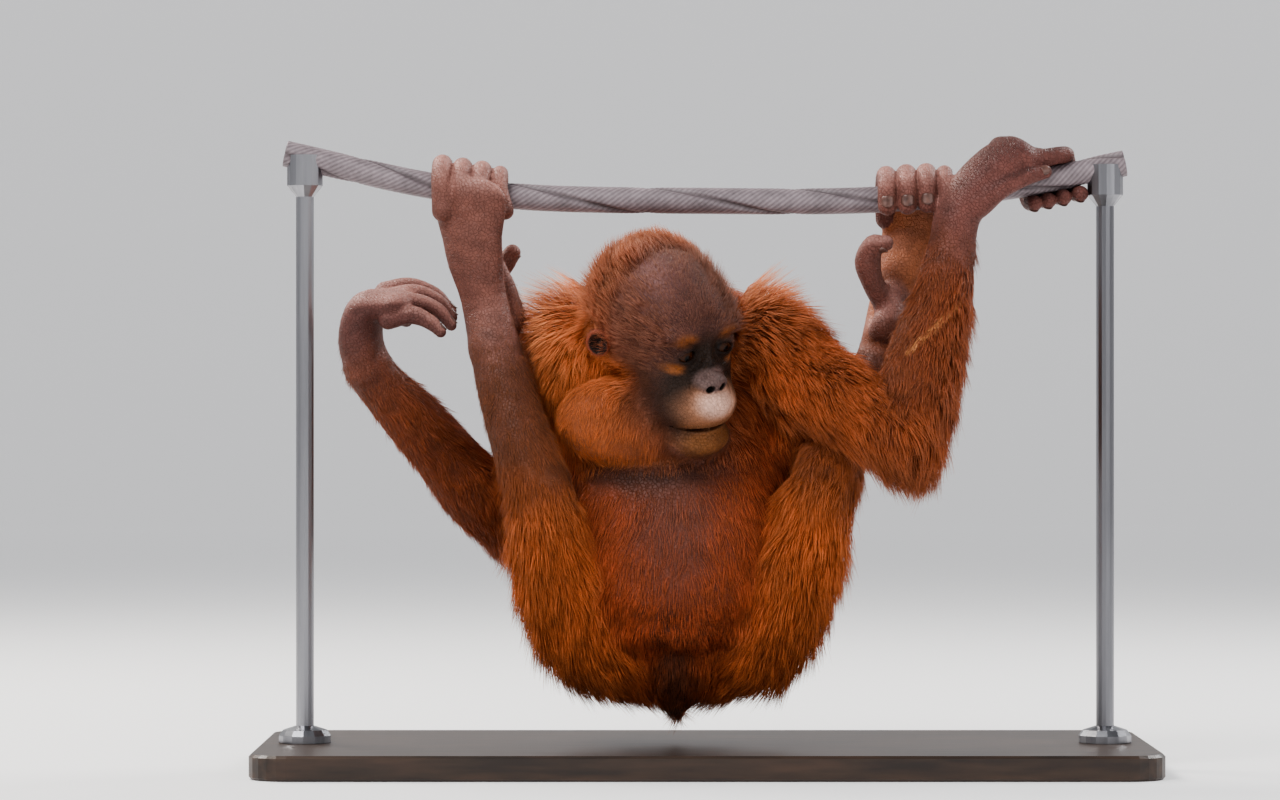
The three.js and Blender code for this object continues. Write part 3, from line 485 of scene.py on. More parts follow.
def sample_grid():
    axes = [np.arange(LOW[k], HIGH[k], GRID) for k in range(3)]
    values = np.full([len(a) for a in axes], 1e3)
    for form, blend in ORDER:
        ends = np.array([form.box[0] - MARGIN, form.box[1] + MARGIN])
        cut = [slice(*np.searchsorted(axes[k], ends[:, k])) for k in range(3)]
        block = np.stack(np.meshgrid(*(axes[k][cut[k]] for k in range(3)), indexing="ij"), -1)
        p = block.reshape(-1, 3)
        gap = np.concatenate([form.distance(part) for part in np.array_split(p, max(1, len(p) // CHUNK))])
        values[tuple(cut)] = soft_min(values[tuple(cut)], gap.reshape(block.shape[:3]), blend)
    return values


def nets(values):
    """Vertices and triangles of the surface where the values cross zero."""
    inside = values < 0
    shape = [n - 1 for n in values.shape]
    corners = [(i, j, k) for i in (0, 1) for j in (0, 1) for k in (0, 1)]
    count = np.zeros(shape, np.int8)
    for i, j, k in corners:
        count += inside[i:i + shape[0], j:j + shape[1], k:k + shape[2]]
    active = (count > 0) & (count < 8)
    cells = np.argwhere(active)
    index = np.full(shape, -1, np.int64)
    index[active] = np.arange(len(cells))
    place, crossings = np.zeros((len(cells), 3)), np.zeros(len(cells))
    for a in corners:
        for axis in range(3):
            if a[axis]:
                continue
            b = np.array(a) + np.eye(3, dtype=int)[axis]
            low, high = values[tuple((cells + a).T)], values[tuple((cells + b).T)]
            cross = (low < 0) != (high < 0)
            t = np.where(cross, low / np.where(cross, low - high, 1), 0)
            spot = np.array(a, float) + t[:, None] * np.eye(3)[axis]
            place += spot * cross[:, None]
            crossings += cross
    points = LOW + (cells + place / crossings[:, None]) * GRID
    quads = []
    for axis in range(3):
        one, two = np.eye(3, dtype=int)[(axis + 1) % 3], np.eye(3, dtype=int)[(axis + 2) % 3]
        ahead = [slice(1, None) if k == axis else slice(None) for k in range(3)]
        behind = [slice(None, -1) if k == axis else slice(None) for k in range(3)]
        change = inside[tuple(ahead)] != inside[tuple(behind)]
        edges = np.argwhere(change)
        quad = np.stack([index[tuple((edges - a).T)] for a in (one + two, two, 0 * one, one)], 1)
        outward = inside[tuple(edges.T)]
        quads.append(np.where(outward[:, None], quad, quad[:, ::-1]))
    quads = np.vstack(quads)
    return points, np.vstack([quads[:, [0, 1, 2]], quads[:, [0, 2, 3]]])


def refine(points, faces, wanted):
    """Splits the edges whose two ends are wanted, and the triangles on them."""
    edges = np.stack([faces, np.roll(faces, -1, axis=1)], -1).reshape(-1, 2)
    split = wanted[edges].all(axis=1)
    pairs = np.sort(edges, axis=1)
    keys = pairs[:, 0] * len(points) + pairs[:, 1]
    found, back = np.unique(keys[split], return_inverse=True)
    middle = np.full(len(edges), -1)
    middle[split] = len(points) + back
    a, b = found // len(points), found % len(points)
    points = np.vstack([points, (points[a] + points[b]) / 2])
    middle = middle.reshape(-1, 3)
    number = (middle >= 0).sum(1)
    out = [faces[number == 0]]
    f, m = faces[number == 3], middle[number == 3]
    out += [np.stack(c, 1) for c in (
        (f[:, 0], m[:, 0], m[:, 2]), (m[:, 0], f[:, 1], m[:, 1]), (m[:, 2], m[:, 1], f[:, 2]),
        (m[:, 0], m[:, 1], m[:, 2]))]
    for turn in range(3):
        f, m = np.roll(faces, -turn, axis=1), np.roll(middle, -turn, axis=1)
        one = (number == 1) & (m[:, 0] >= 0)
        out += [np.stack(c, 1) for c in (
            (f[one, 0], m[one, 0], f[one, 2]), (m[one, 0], f[one, 1], f[one, 2]))]
        two = (number == 2) & (m[:, 2] < 0)
        out += [np.stack(c, 1) for c in (
            (f[two, 0], m[two, 0], f[two, 2]), (m[two, 0], f[two, 1], m[two, 1]),
            (m[two, 0], m[two, 1], f[two, 2]))]
    return points, np.vstack(out)


def face_normals(points, faces):
    a, b, c = (points[faces[:, k]] for k in range(3))
    return np.cross(b - a, c - a)


def point_normals(points, faces):
    flat = face_normals(points, faces)
    total = np.zeros_like(points)
    for k in range(3):
        for axis in range(3):
            total[:, axis] += np.bincount(faces[:, k], flat[:, axis], len(points))
    return unit(total)


def relax(points, faces, times=2):
    """Evens out the triangles, sliding points along the skin."""
    ends = np.vstack([faces[:, [0, 1]], faces[:, [1, 2]], faces[:, [2, 0]]])
    number = np.bincount(ends[:, 0], minlength=len(points))[:, None]
    for _ in range(times):
        total = np.stack([np.bincount(ends[:, 0], points[ends[:, 1], k], len(points)) for k in range(3)], 1)
        shift = total / np.maximum(number, 1) - points
        normal = point_normals(points, faces)
        points = points + (shift - normal * (shift * normal).sum(1, keepdims=True)) * 0.6
    return points


def skin_mesh():
    points, faces = nets(GRID_VALUES)
    points = settle(points, 2)
    points = settle(relax(points, faces, 3), 1)
    head = Head()
    bare = [Cluster([BONES[name], THUMBS[name], *DIGITS[name]]) for name in DIGITS]
    near = head.distance(points) < 5
    for form in bare:
        box = inside_box(points, form.box, 6)
        near[box] |= form.distance(points[box]) < 5
    points, faces = refine(points, faces, near)
    points = settle(relax(points, faces, 1), 1)
    q = to_head(points)
    face = (head_distance(points) < 5) & ((q > [-40, 26, -92]) & (q < [40, np.inf, 18])).all(axis=1)
    ear = (np.abs(np.abs(q * [1, 0, 0]) + q * [0, 1, 1] - EAR_PLACE) < [12, 15, 15]).all(axis=1)
    points, faces = refine(points, faces, face | ear)
    points = settle(relax(points, faces, 1), 2)
    return points, faces


GRID_VALUES = sample_grid()
SKIN_POINTS, SKIN_FACES = skin_mesh()
SKIN_NORMALS = point_normals(SKIN_POINTS, SKIN_FACES)


def grid_distance(p):
    """Distance from the skin, read between the grid's points."""
    at = np.clip((p - LOW) / GRID, 0, np.array(GRID_VALUES.shape) - 1.001)
    low = at.astype(int)
    t = at - low
    total = np.zeros(len(p))
    for i in (0, 1):
        for j in (0, 1):
            for k in (0, 1):
                weight = (t[:, 0] if i else 1 - t[:, 0]) * (t[:, 1] if j else 1 - t[:, 1])
                weight = weight * (t[:, 2] if k else 1 - t[:, 2])
                total += weight * GRID_VALUES[low[:, 0] + i, low[:, 1] + j, low[:, 2] + k]
    return total


# Where a point of the skin is: how near each part, and how far along and round it.
REGIONS = {"trunk": TRUNK, "rump": RUMP, "neck": NECK, "throat": Cluster([THROAT]),
           "cheek": Cluster([CHEEK]), "shoulder": SHOULDER, "head": Head(),
           "ear": Cluster([Ear(1), Ear(-1)])}
REGIONS |= {name: tube for name, tube in BONES.items() if not name.startswith(("hand", "foot"))}
REGIONS |= {name: Cluster([BONES[name], THUMBS[name], *DIGITS[name]]) for name in DIGITS}
NAMES = list(REGIONS)
BLEND = 7.0  # how far the colours and hair of one part fade into the next


def plain(name):
    return name.replace("_right", "").replace("_left", "")


class Places:
    def __init__(self, p, n):
        self.p, self.n = p, n
        gaps = np.full((len(p), len(NAMES)), 1e3)
        for j, form in enumerate(REGIONS.values()):
            near = np.nonzero(inside_box(p, form.box, 30))[0]
            for part in np.array_split(near, max(1, len(near) // CHUNK)):
                if len(part):
                    gaps[part, j] = form.distance(p[part])
        self.owner = gaps.argmin(1)
        weights = np.exp(-(gaps - gaps.min(1, keepdims=True)) / BLEND)
        self.weights = weights / weights.sum(1, keepdims=True)
        self.q = to_head(p)

    def share(self, *parts):
        """How much of each point is on these parts; a part named without its side is taken on both."""
        chosen = [j for j, name in enumerate(NAMES) if name in parts or plain(name) in parts]
        return sum(self.weights[:, j] for j in chosen)

    def blend(self, table):
        """One value for each point from a table with a value for each part, right and left alike."""
        return self.weights @ np.array([table[plain(name)] for name in NAMES], float)


def linear(*rgb):
    """Linear values of a screen colour."""
    c = np.array(rgb, float) / 255
    return np.where(c < 0.04045, c / 12.92, ((c + 0.055) / 1.055) ** 2.4)


FINE, MEDIUM, BROAD = Waves(4, 5), Waves(14, 6), Waves(45, 7)

COAT = {
    "trunk": (172, 84, 42), "rump": (92, 52, 28), "neck": (204, 114, 62), "throat": (186, 102, 58),
    "cheek": (206, 116, 64), "shoulder": (216, 130, 78), "head": (122, 60, 38), "ear": (140, 70, 44),
    "thigh": (180, 94, 48), "shin": (118, 68, 46), "foot": (128, 84, 66),
    "upper_arm": (168, 86, 48), "forearm": (140, 72, 44), "hand": (104, 64, 52),
}
BARE = {
    "trunk": (112, 58, 38), "rump": (50, 34, 28), "neck": (130, 72, 44), "throat": (150, 88, 58),
    "cheek": (150, 84, 54), "shoulder": (130, 72, 44), "head": (76, 46, 40), "ear": (168, 84, 58),
    "thigh": (140, 82, 52), "shin": (88, 52, 38), "foot": (108, 68, 60),
    "upper_arm": (118, 64, 42), "forearm": (120, 70, 50), "hand": (90, 56, 52),
}


# Colour the tips lean towards: partly paler hair, partly painted sheen.
PALE_TIP_AND_SHEEN = linear(232, 168, 122)
COAT_COLOURS = {name: linear(*colour) for name, colour in COAT.items()}
BARE_COLOURS = {name: linear(*colour) for name, colour in BARE.items()}


def blot(colours, *layers):
    """Lays colours over the ones there, each given as (how much, colour)."""
    for amount, new in layers:
        colours = mix(colours, linear(*new), np.clip(amount, 0, 1)[:, None])
    return colours


def belly(places):
    """1 on the front of the trunk, 0 on its back."""
    return places.share("trunk", "rump") * ramp(-places.n[:, 1], -0.1, 0.5)


def coat_colours(places):
    """Colours of the hairs' middles."""
    c = places.blend(COAT_COLOURS)
    p, n, q = places.p, places.n, places.q
    x, z = p[:, 0], p[:, 2]
    front = belly(places)
    c = blot(
        c,
        (front * 0.9, (166, 78, 46)),
        (front * bell(x, -22, 30) * ramp(z, 100, 190) * 0.8, (118, 68, 54)),
        (front * ramp(104 - z, 0, 36) * bell(x, -22, 20) * 0.9, (58, 34, 20)),
        (throat_edge(places), (196, 124, 76)),
        # Painted shadow under the throat's fold.
        (under_throat(p), (36, 18, 11)),
    )
    head = places.share("head", "ear")
    c = blot(
        c,
        (head * (1 - crown(q)), (104, 64, 54)),
        (head * ramp(np.abs(q[:, 0]), 22, 40) * ramp(q[:, 2], -60, -10) * 0.5, (110, 58, 40)),
        (head * face_mask(q), (46, 30, 21)),
        (head * cheek_side(q) * (1 - face_mask(q)), (204, 112, 60)),
        # Painted shade: the undersides of the left arm and of both thighs are darker.
        (places.share("upper_arm_left", "forearm_left") * ramp(-n[:, 2], 0, 0.7) * 0.6, (104, 50, 28)),
        (places.share("thigh_right", "thigh_left") * ramp(-n[:, 2], 0, 0.8) * 0.35, (140, 84, 50)),
        (places.share("forearm_left") * ramp(-n[:, 0], -0.2, 0.5) * 0.5, (112, 58, 34)),
        # Painted highlight: the raised hair on the tops of the shoulders is paler.
        (ruff(places) * 0.5, (232, 160, 118)),
    )
    tone = 1 + 0.18 * MEDIUM(p) + 0.14 * BROAD(p)
    return c * tone[:, None]


def crown(q):
    """1 where the head's hair is dense, behind a line over the crown, and 0 on the thinly haired front."""
    return ramp(-q[:, 1], -10, 10)


def cheek_side(q):
    """1 on the sides of the head below the ear, where long hair hangs."""
    return ramp(-q[:, 2], 20, 42) * ramp(-q[:, 1], -26, -2)


def under_throat(p):
    """1 in the shade under the throat's fold."""
    across = (p[:, 0] + 48) / 62
    return bell(across, 0, 1) * bell(p[:, 2] - 8 * across**2, 209, 9) * ramp(-p[:, 1], 10, 30)


def throat_edge(places):
    """1 on the light lower edge of the throat's fold."""
    across = (places.p[:, 0] + 58) / 62
    edge = places.share("throat", "cheek") * bell(places.p[:, 2] - 8 * across**2, 219, 3.5)
    return edge * ramp(-places.p[:, 1], 10, 30)


def face_mask(q):
    """1 in the face, 0 on the rest of the head."""
    x = np.abs(q[:, 0])
    edge = np.hypot(x / 36, (q[:, 2] + 40) / 46)
    return ramp(1.15 - edge, 0, 0.4) * ramp(q[:, 1], 12, 30)


def face_colours(q, c):
    x, y, z = q[:, 0], q[:, 1], q[:, 2]
    side = np.abs(x)
    face = face_mask(q)
    c = blot(c, (face, (40, 26, 18)))
    round_eye = np.hypot(side - EYE[0], (z - EYE[2]) * 1.1)
    above = np.hypot((side - 19) / 9.5, (z - EYE[2] - 12) / 5.5)
    below = np.hypot((side - 24.5) / 7.5, (z - EYE[2] + 9) / 4.8)
    ochre = np.maximum(ramp(1.4 - above, 0, 1.1), ramp(1.3 - below, 0, 1.0))
    c = blot(
        c,
        (ochre * ramp(y, 24, 34) * 0.75, (148, 88, 46)),
        # Painted shade in the eye hollows and between the eyes, on the bridge of the nose.
        (face * bell(round_eye, 5, 3.5) * 0.8, (28, 18, 14)),
        (face * bell(side, 0, 6) * bell(z, -16, 10) * 0.7, (34, 24, 20)),
    )
    dome = np.hypot(x / 27, (z + 48) / 19)
    c = blot(
        c,
        (ramp(1.25 - dome, 0, 0.7) * ramp(y, 38, 58), (150, 104, 78)),
        (ramp(1.1 - np.hypot(x / 20, (z + 43) / 13), 0, 0.7) * ramp(y, 50, 64), (206, 166, 148)),
        (ramp(1.2 - np.hypot(x / 14, (z + 27) / 8.5), 0, 0.5) * ramp(y, 50, 58), (104, 84, 80)),
        (bell(z, -60, 5) * ramp(28 - side, 0, 10) * ramp(y, 46, 56) * 0.7, (116, 74, 46)),
    )
    chin = np.hypot(x / 26, (z + 76) / 15)
    c = blot(
        c,
        (ramp(1.15 - chin, 0, 0.6) * ramp(y, 34, 50), (122, 78, 44)),
        # Painted shade under the chin and in the gap between the lips.
        (ramp(-z, 76, 90) * ramp(y, 30, 44) * 0.7, (52, 30, 18)),
        (bell(z, -63.5, 1.6) * ramp(20 - side, 0, 8) * ramp(y, 50, 56), (22, 13, 11)),
    )
    # Painted shade in the nostrils.
    hole = np.hypot((side - NOSTRIL[0][0]) / 3, (z - NOSTRIL[0][2]) / 2.8)
    return blot(c, (ramp(1.3 - hole, 0, 0.45) * ramp(y, 57, 60), (12, 8, 7)))


def skin_colours(places):
    c = places.blend(BARE_COLOURS)
    p, q = places.p, places.q
    front = belly(places)
    c = blot(
        c,
        (front * bell(p[:, 0], -22, 40) * ramp(p[:, 2], 100, 170), (100, 62, 52)),
        (front * ramp(124 - p[:, 2], 0, 60), (54, 36, 26)),
    )
    c = mix(c, coat_colours(places) * 0.55, (0.5 * hairiness(places))[:, None])
    head = places.share("head", "ear")
    c = mix(c, face_colours(q, c), head[:, None])
    # Painted highlight: a mauve sheen on the pate.
    sheen = np.linalg.norm(q - [20, 10, 41], axis=1)
    c = blot(c, (head * bell(sheen, 0, 22) * 0.6, (150, 112, 110)))
    # Painted shade in the ears' hollows.
    for ear in (Ear(1), Ear(-1)):
        c = blot(c, (ramp(1.2 - ear.dish(ear.local(p)), 0, 1) * inside_box(p, ear.box, 0), (30, 16, 12)))
    soles = sum(places.share(name) * (BONES[name].distance(p) < 3) for name in ("foot_right", "foot_left"))
    c = blot(
        c,
        (palms(places, "foot") * soles * 0.85, (178, 112, 76)),
        (palms(places, "hand") * 0.6, (116, 72, 64)),
        (throat_edge(places), (176, 106, 66)),
    )
    # Painted highlight on the upward faces of the feet and of the right hand.
    lit = ramp(places.n[:, 2], -0.1, 0.7)
    c = blot(
        c,
        (lit * (places.share("foot") * 0.75 + places.share("hand_right") * 0.6), (170, 124, 114)),
        # Painted shadow under the throat's fold.
        (under_throat(p) * 0.8, (40, 20, 13)),
    )
    for spot in NIPPLES:
        c = blot(c, (bell(np.linalg.norm(p - spot, axis=1), 0, 4.5), (84, 46, 40)))
    # Painted shade in and around the navel's hollow.
    c = blot(c, (bell(np.linalg.norm(p - NAVEL.centre, axis=1), 0, 9), (40, 22, 16)))
    tendon = inside_box(p, TENDON.box, 3)
    c[tendon] = blot(c[tendon], (ramp(2 - TENDON.distance(p[tendon]), 0, 1.5), (206, 142, 92)))
    tone = 1 + 0.16 * MEDIUM(p) + 0.12 * FINE(p)
    return c * tone[:, None]


NIPPLES = np.array([[-96, -6, 223], [52, -8, 226]], float)


def palms(places, kind):
    """1 on the soles or palms, which face the rope or the thumb."""
    total = np.zeros(len(places.p))
    for name in DIGITS:
        if name.startswith(kind):
            tube = BONES[name]
            side = unit(THUMBS[name].line[2] - tube.line[len(tube.line) // 2])
            total += places.share(name) * ramp(places.n @ side, 0.0, 0.6)
    return total


# How long, dense and raised the hair is on each part, and which way it lies.
LENGTH = {"trunk": 32, "rump": 8, "neck": 30, "throat": 8, "cheek": 18, "shoulder": 32, "head": 15, "ear": 3,
          "thigh": 20, "shin": 9, "foot": 3.5, "upper_arm": 22, "forearm": 12, "hand": 3.5}
DENSITY = {"trunk": 0.22, "rump": 0.2, "neck": 0.34, "throat": 0.3, "cheek": 0.4, "shoulder": 0.4,
           "head": 0.5, "ear": 0.03, "thigh": 0.34, "shin": 0.3, "foot": 0.2, "upper_arm": 0.38,
           "forearm": 0.36, "hand": 0.2}
LIFT = {"trunk": 0.3, "rump": 0.3, "neck": 0.5, "throat": 0.25, "cheek": 0.4, "shoulder": 0.55,
        "head": 0.5, "ear": 0.6, "thigh": 0.45, "shin": 0.35, "foot": 0.4, "upper_arm": 0.45,
        "forearm": 0.36, "hand": 0.4}
FALL = {"trunk": 0.5, "rump": 1, "neck": 1, "throat": 1, "cheek": 1.4, "shoulder": 0.6, "head": 0.2,
        "ear": 0, "thigh": 0.5, "shin": 0.25, "foot": 0.1, "upper_arm": 0.35, "forearm": 0.25, "hand": 0}
RUN = {"trunk": -1, "neck": 0.2, "upper_arm": 1, "forearm": -1, "thigh": -0.75, "shin": -1, "foot": -0.6,
       "hand": -0.5, "shoulder": 0.6, "rump": -1}


RUFFS = np.array([[-100, 25, 322], [22, 15, 320]], float)


def hairiness(places):
    head = places.share("head", "ear")
    bare = places.share("throat") * 0.6 + palms(places, "foot") + palms(places, "hand")
    bare = bare + head * (1 - 0.8 * crown(places.q)) + places.share("hand", "foot", "shin") * 0.6
    front = belly(places) * bell(places.p[:, 0], -22, 36) * 0.7
    return np.clip(1 - bare - front, 0, 1)


def hair_length(places):
    p, n, q = places.p, places.n, places.q
    length = mix(places.blend(LENGTH), 12, belly(places))
    head = places.share("head")
    far = ramp(-q[:, 0], 16, 34) * ramp(q[:, 2], -10, 10)
    near = ramp(q[:, 0], 20, 38)
    length = mix(length, 5 + 4 * near + 9 * far, head * (1 - crown(q)))
    length = length - 5 * head * crown(q) * near
    length = mix(length, 2.4, head * face_mask(q))
    length = mix(length, 24, head * cheek_side(q) * (1 - face_mask(q)))
    from_ear = np.linalg.norm(np.abs(q * [1, 0, 0]) + q * [0, 1, 1] - EAR_PLACE - [0, 4, 0], axis=1)
    length = mix(length, 5, head * bell(from_ear, 0, 17))
    length = mix(length, 3, under_throat(p))
    length = length + 16 * ruff(places)
    elbow = bell(np.linalg.norm(p - BONES["forearm_left"].line[0], axis=1), 0, 40)
    length = length + 14 * elbow * ramp(-n[:, 2], -0.1, 0.5)
    length = length + 9 * places.share("forearm_left") * ramp(n[:, 0], 0.1, 0.7)
    length = length + 6 * places.share("forearm_right") * ramp(n[:, 1], 0.1, 0.7)
    outward = np.sign(p[:, 0] - TRUNK.line[0, 0]) * n[:, 0]
    length = length + 8 * places.share("thigh") * ramp(outward, 0.2, 0.8)
    return length * (1 + 0.2 * MEDIUM(p))


def ruff(places):
    """1 on the raised hair over the shoulders, beside the head."""
    total = sum(bell(np.linalg.norm(places.p - spot, axis=1), 0, 38) for spot in RUFFS)
    return np.clip(total, 0, 1) * (1 - places.share("head", "ear")) * ramp(places.n[:, 2], -0.1, 0.5)


def hair_density(places):
    q = places.q
    head = places.share("head")
    density = mix(places.blend(DENSITY), 0.16, belly(places))
    thin = 0.5 * belly(places) * bell(places.p[:, 0], -22, 26) * ramp(places.p[:, 2], 90, 150)
    density = density * (1 - thin)
    muzzle = ramp(q[:, 1], 40, 52) * ramp(-q[:, 2], 22, 34)
    chin = ramp(-q[:, 2], 68, 74)
    density = mix(density, 0.3 * (1 - muzzle * (1 - 0.5 * chin)), head * face_mask(q))
    bare = palms(places, "hand") + palms(places, "foot")
    edge = places.share("throat") * bell(places.n[:, 2], -0.55, 0.3) * 0.8
    edge = edge + 0.85 * under_throat(places.p) + 0.7 * throat_edge(places)
    return density * np.clip(1 - bare - edge, 0, 1) * ramp(density, 0.02, 0.06)


def hair_lie(places):
    p, n = places.p, places.n
    way = np.zeros_like(p)
    for j, name in enumerate(NAMES):
        form = REGIONS[name]
        tube = BONES.get(name, form)
        if isinstance(tube, Tube) and plain(name) in RUN:
            near = places.weights[:, j] > 0.02
            _, where = tube.trace(p[near])
            at = np.round(where[:, 0] * (len(tube.line) - 1)).astype(int)
            way[near] += tube.along[at] * (places.weights[near, j] * RUN[plain(name)])[:, None]
    fall = places.blend(FALL)
    way = way - UP * fall[:, None]
    front = belly(places)
    out = unit(p - TRUNK.line[len(TRUNK.line) // 2]) * [1, 0, 0]
    way = way + out * (front * 0.7)[:, None]
    q = places.q
    away = unit(np.stack([q[:, 0], q[:, 1] * 0 - 26, q[:, 2] + 30], 1)) @ HEAD_AXES.T
    way = way + away * (places.share("head", "ear") * 1.2)[:, None]
    way = way - n * (way * n).sum(1, keepdims=True)
    return unit(way)


SWIRL = [Waves(30, 20 + k) for k in range(3)]
STRAY = [Waves(9, 30 + k) for k in range(3)]
# Kinds of tuft: where its rings are, how wide each is, and how bright each and the tip are; the darker roots
# are painted shade within the coat, and the lighter tips are partly paler hair and partly painted sheen.
LONG = (np.array([0.0, 0.48]), np.array([1.0, 0.7]), np.array([0.52, 1.05, 1.6]))
STUB = (np.array([0.0]), np.array([1.0]), np.array([0.75, 1.3]))
PATCH = 0.003
CLUMPING = 0.32  # how far tufts are drawn together
UV_NAME = "OFBake"


def tuft_faces(rings):
    """Faces of one tuft with this many rings of three, with each corner's place in its patch."""
    faces, spots = [[2, 1, 0]], [[(0, 0.9), (0, 0.5), (0, 0.1)]]
    for i in range(rings):
        for j in range(3):
            k = (j + 1) % 3
            a, b = (i / rings, j / 3), (i / rings, (j + 1) / 3)
            if i == rings - 1:
                faces.append([i * 3 + j, i * 3 + k, rings * 3])
                spots.append([a, b, (1, (j + 0.5) / 3)])
                continue
            c, d = ((i + 1) / rings, (j + 1) / 3), ((i + 1) / rings, j / 3)
            faces += [[i * 3 + j, i * 3 + k, i * 3 + 3 + k], [i * 3 + j, i * 3 + 3 + k, i * 3 + 3 + j]]
            spots += [[a, b, c], [a, c, d]]
    return np.array(faces), np.array(spots, float)


def grow(places, length, width, kind):
    """Points of every tuft: rings of three and a tip, bent along the lie of the coat."""
    rings, thin, _ = kind
    p, n = places.p, places.n
    count = len(p)
    lie = hair_lie(places)
    swirl = np.stack([w(p) for w in SWIRL], 1) * 0.28 + np.stack([w(p) for w in STRAY], 1) * 0.2
    lie = unit(lie + swirl + rng.normal(size=(count, 3)) * 0.12)
    lift = places.blend(LIFT) * (1 + 0.4 * rng.normal(size=count))
    dense = places.share("head") * crown(places.q) * (1 - cheek_side(places.q))
    lift = mix(lift, 2.0, dense * ramp(places.q[:, 2], -14, 6))
    lift = mix(lift, 1.1, places.share("head") * (1 - crown(places.q)) * (1 - face_mask(places.q)))
    lift = mix(lift, 2.4, ruff(places))
    lift = np.clip(mix(lift, 0.2, belly(places)), 0.06, 3)
    droop = 0.4 * ramp(length, 12, 36)
    shares = np.append(rings, 1.0)
    spine = [p - n * 1.0]
    for i, step in enumerate(np.diff(shares)):
        middle = shares[i] + step / 2
        way = unit(lie + n * (lift * (1 - 0.7 * middle))[:, None] - UP * (droop * middle)[:, None])
        spine.append(spine[-1] + way * (length * step)[:, None])
    spine = gather(p, np.stack(spine, 1), CLUMPING * (1 - 0.75 * places.share("head")))
    for i in range(1, spine.shape[1]):
        spine[:, i] = clear_skin(spine[:, i], 0.4 + 1.8 * shares[i] * ramp(length, 4, 20))
    way = unit(np.gradient(spine, axis=1))
    side = unit(np.cross(way, n[:, None, :]) + rng.normal(size=(count, 1, 3)) * 0.3)
    top = np.cross(side, way)
    points = np.zeros((count, len(rings) * 3 + 1, 3))
    for i, share in enumerate(thin):
        half = (width * share / 2)[:, None]
        points[:, i * 3] = spine[:, i] + side[:, i] * half
        points[:, i * 3 + 1] = spine[:, i] - side[:, i] * half
        points[:, i * 3 + 2] = spine[:, i] + top[:, i] * half * 0.9
    points[:, -1] = spine[:, -1]
    return points


def gather(roots, spine, pull):
    """Draws tufts together in clumps towards their tips."""
    leaders = np.arange(0, len(roots), 9)
    tree = kdtree.KDTree(len(leaders))
    for i, leader in enumerate(leaders):
        tree.insert(Vector(roots[leader]), i)
    tree.balance()
    own = leaders[[tree.find(Vector(r))[1] for r in roots]]
    share = np.linspace(0, 1, spine.shape[1])[None, :, None]
    guided = spine[own] + (spine[:, :1] - spine[own][:, :1]) * (1 - 0.72 * share)
    return mix(spine, guided, pull[:, None, None] * share)


def clear_skin(p, room):
    """Lifts points that lie less than this far above the skin."""
    d = grid_distance(p)
    low = d < room
    slope = unit(slopes(grid_distance, p[low], 1.5)[1])
    p = p.copy()
    p[low] += slope * (room - d)[low, None]
    return p


def mesh_object(name, points, faces):
    mesh = bpy.data.meshes.new(name)
    faces = np.asarray(faces)
    sides = faces.shape[1]
    mesh.vertices.add(len(points))
    mesh.vertices.foreach_set("co", (np.asarray(points, float) * MM).ravel())
    mesh.loops.add(faces.size)
    mesh.loops.foreach_set("vertex_index", faces.ravel().astype(np.int32))
    mesh.polygons.add(len(faces))
    mesh.polygons.foreach_set("loop_start", np.arange(0, faces.size, sides, dtype=np.int32))
    mesh.polygons.foreach_set("loop_total", np.full(len(faces), sides, dtype=np.int32))
    mesh.polygons.foreach_set("use_smooth", np.full(len(faces), True))
    mesh.update(calc_edges=True)
    obj = bpy.data.objects.new(name, mesh)
    bpy.context.scene.collection.objects.link(obj)
    return obj


def colour_points(obj, name, colours):
    layer = obj.data.color_attributes.new(name, "FLOAT_COLOR", "POINT")
    rgba = np.ones((len(colours), 4), np.float32)
    rgba[:, :3] = np.clip(colours, 0, 1)
    layer.data.foreach_set("color", rgba.ravel())


def unwrap(region, p):
    """A place from 0 to 1 on the region's own shape: round it, and along it."""
    if isinstance(region, Tube):
        _, where = region.trace(p)
        angle = np.arctan2(where[:, 2], where[:, 1]) / (2 * math.pi) + 0.5
        return np.stack([angle, where[:, 0]], 1)
    way = unit(to_head(p) + [0, 0, 20])
    angle = np.arctan2(way[:, 0], way[:, 1]) / (2 * math.pi) + 0.5
    return np.stack([angle, np.arccos(way[:, 2]) / math.pi], 1)


def scatter(chosen, number):
    """Roots spread over the chosen faces by area and density."""
    faces = SKIN_FACES[chosen]
    area = np.linalg.norm(face_normals(SKIN_POINTS, faces), axis=1)
    total = np.cumsum(area * FACE_DENSITY[chosen])
    picks = (np.arange(number) + rng.uniform(0, 1, number)) / number * total[-1]
    face = faces[np.searchsorted(total, picks)]
    a, b = rng.uniform(0, 1, (2, number))
    over = a + b > 1
    a, b = np.where(over, 1 - a, a), np.where(over, 1 - b, b)
    weights = np.stack([1 - a - b, a, b], 1)[:, :, None]
    return (SKIN_POINTS[face] * weights).sum(1), unit((SKIN_NORMALS[face] * weights).sum(1))


# Coat pieces: name, parts covered, form it is unwrapped on, how many tufts, their kind, and which side.
COATS = [
    ("coat_belly", ["trunk", "rump"], TRUNK, 13500, LONG, "front"),
    ("coat_back", ["trunk", "rump"], TRUNK, 13000, LONG, "back"),
    ("coat_shoulders", ["neck", "shoulder"], NECK, 11500, LONG, None),
    ("coat_throat", ["throat", "cheek"], TRUNK, 6500, LONG, None),
    ("coat_crown", ["head", "ear"], None, 12500, LONG, "crown"),
    ("coat_scalp", ["head"], None, 13000, STUB, "scalp"),
    ("coat_face", ["head"], None, 9000, STUB, "face"),
]
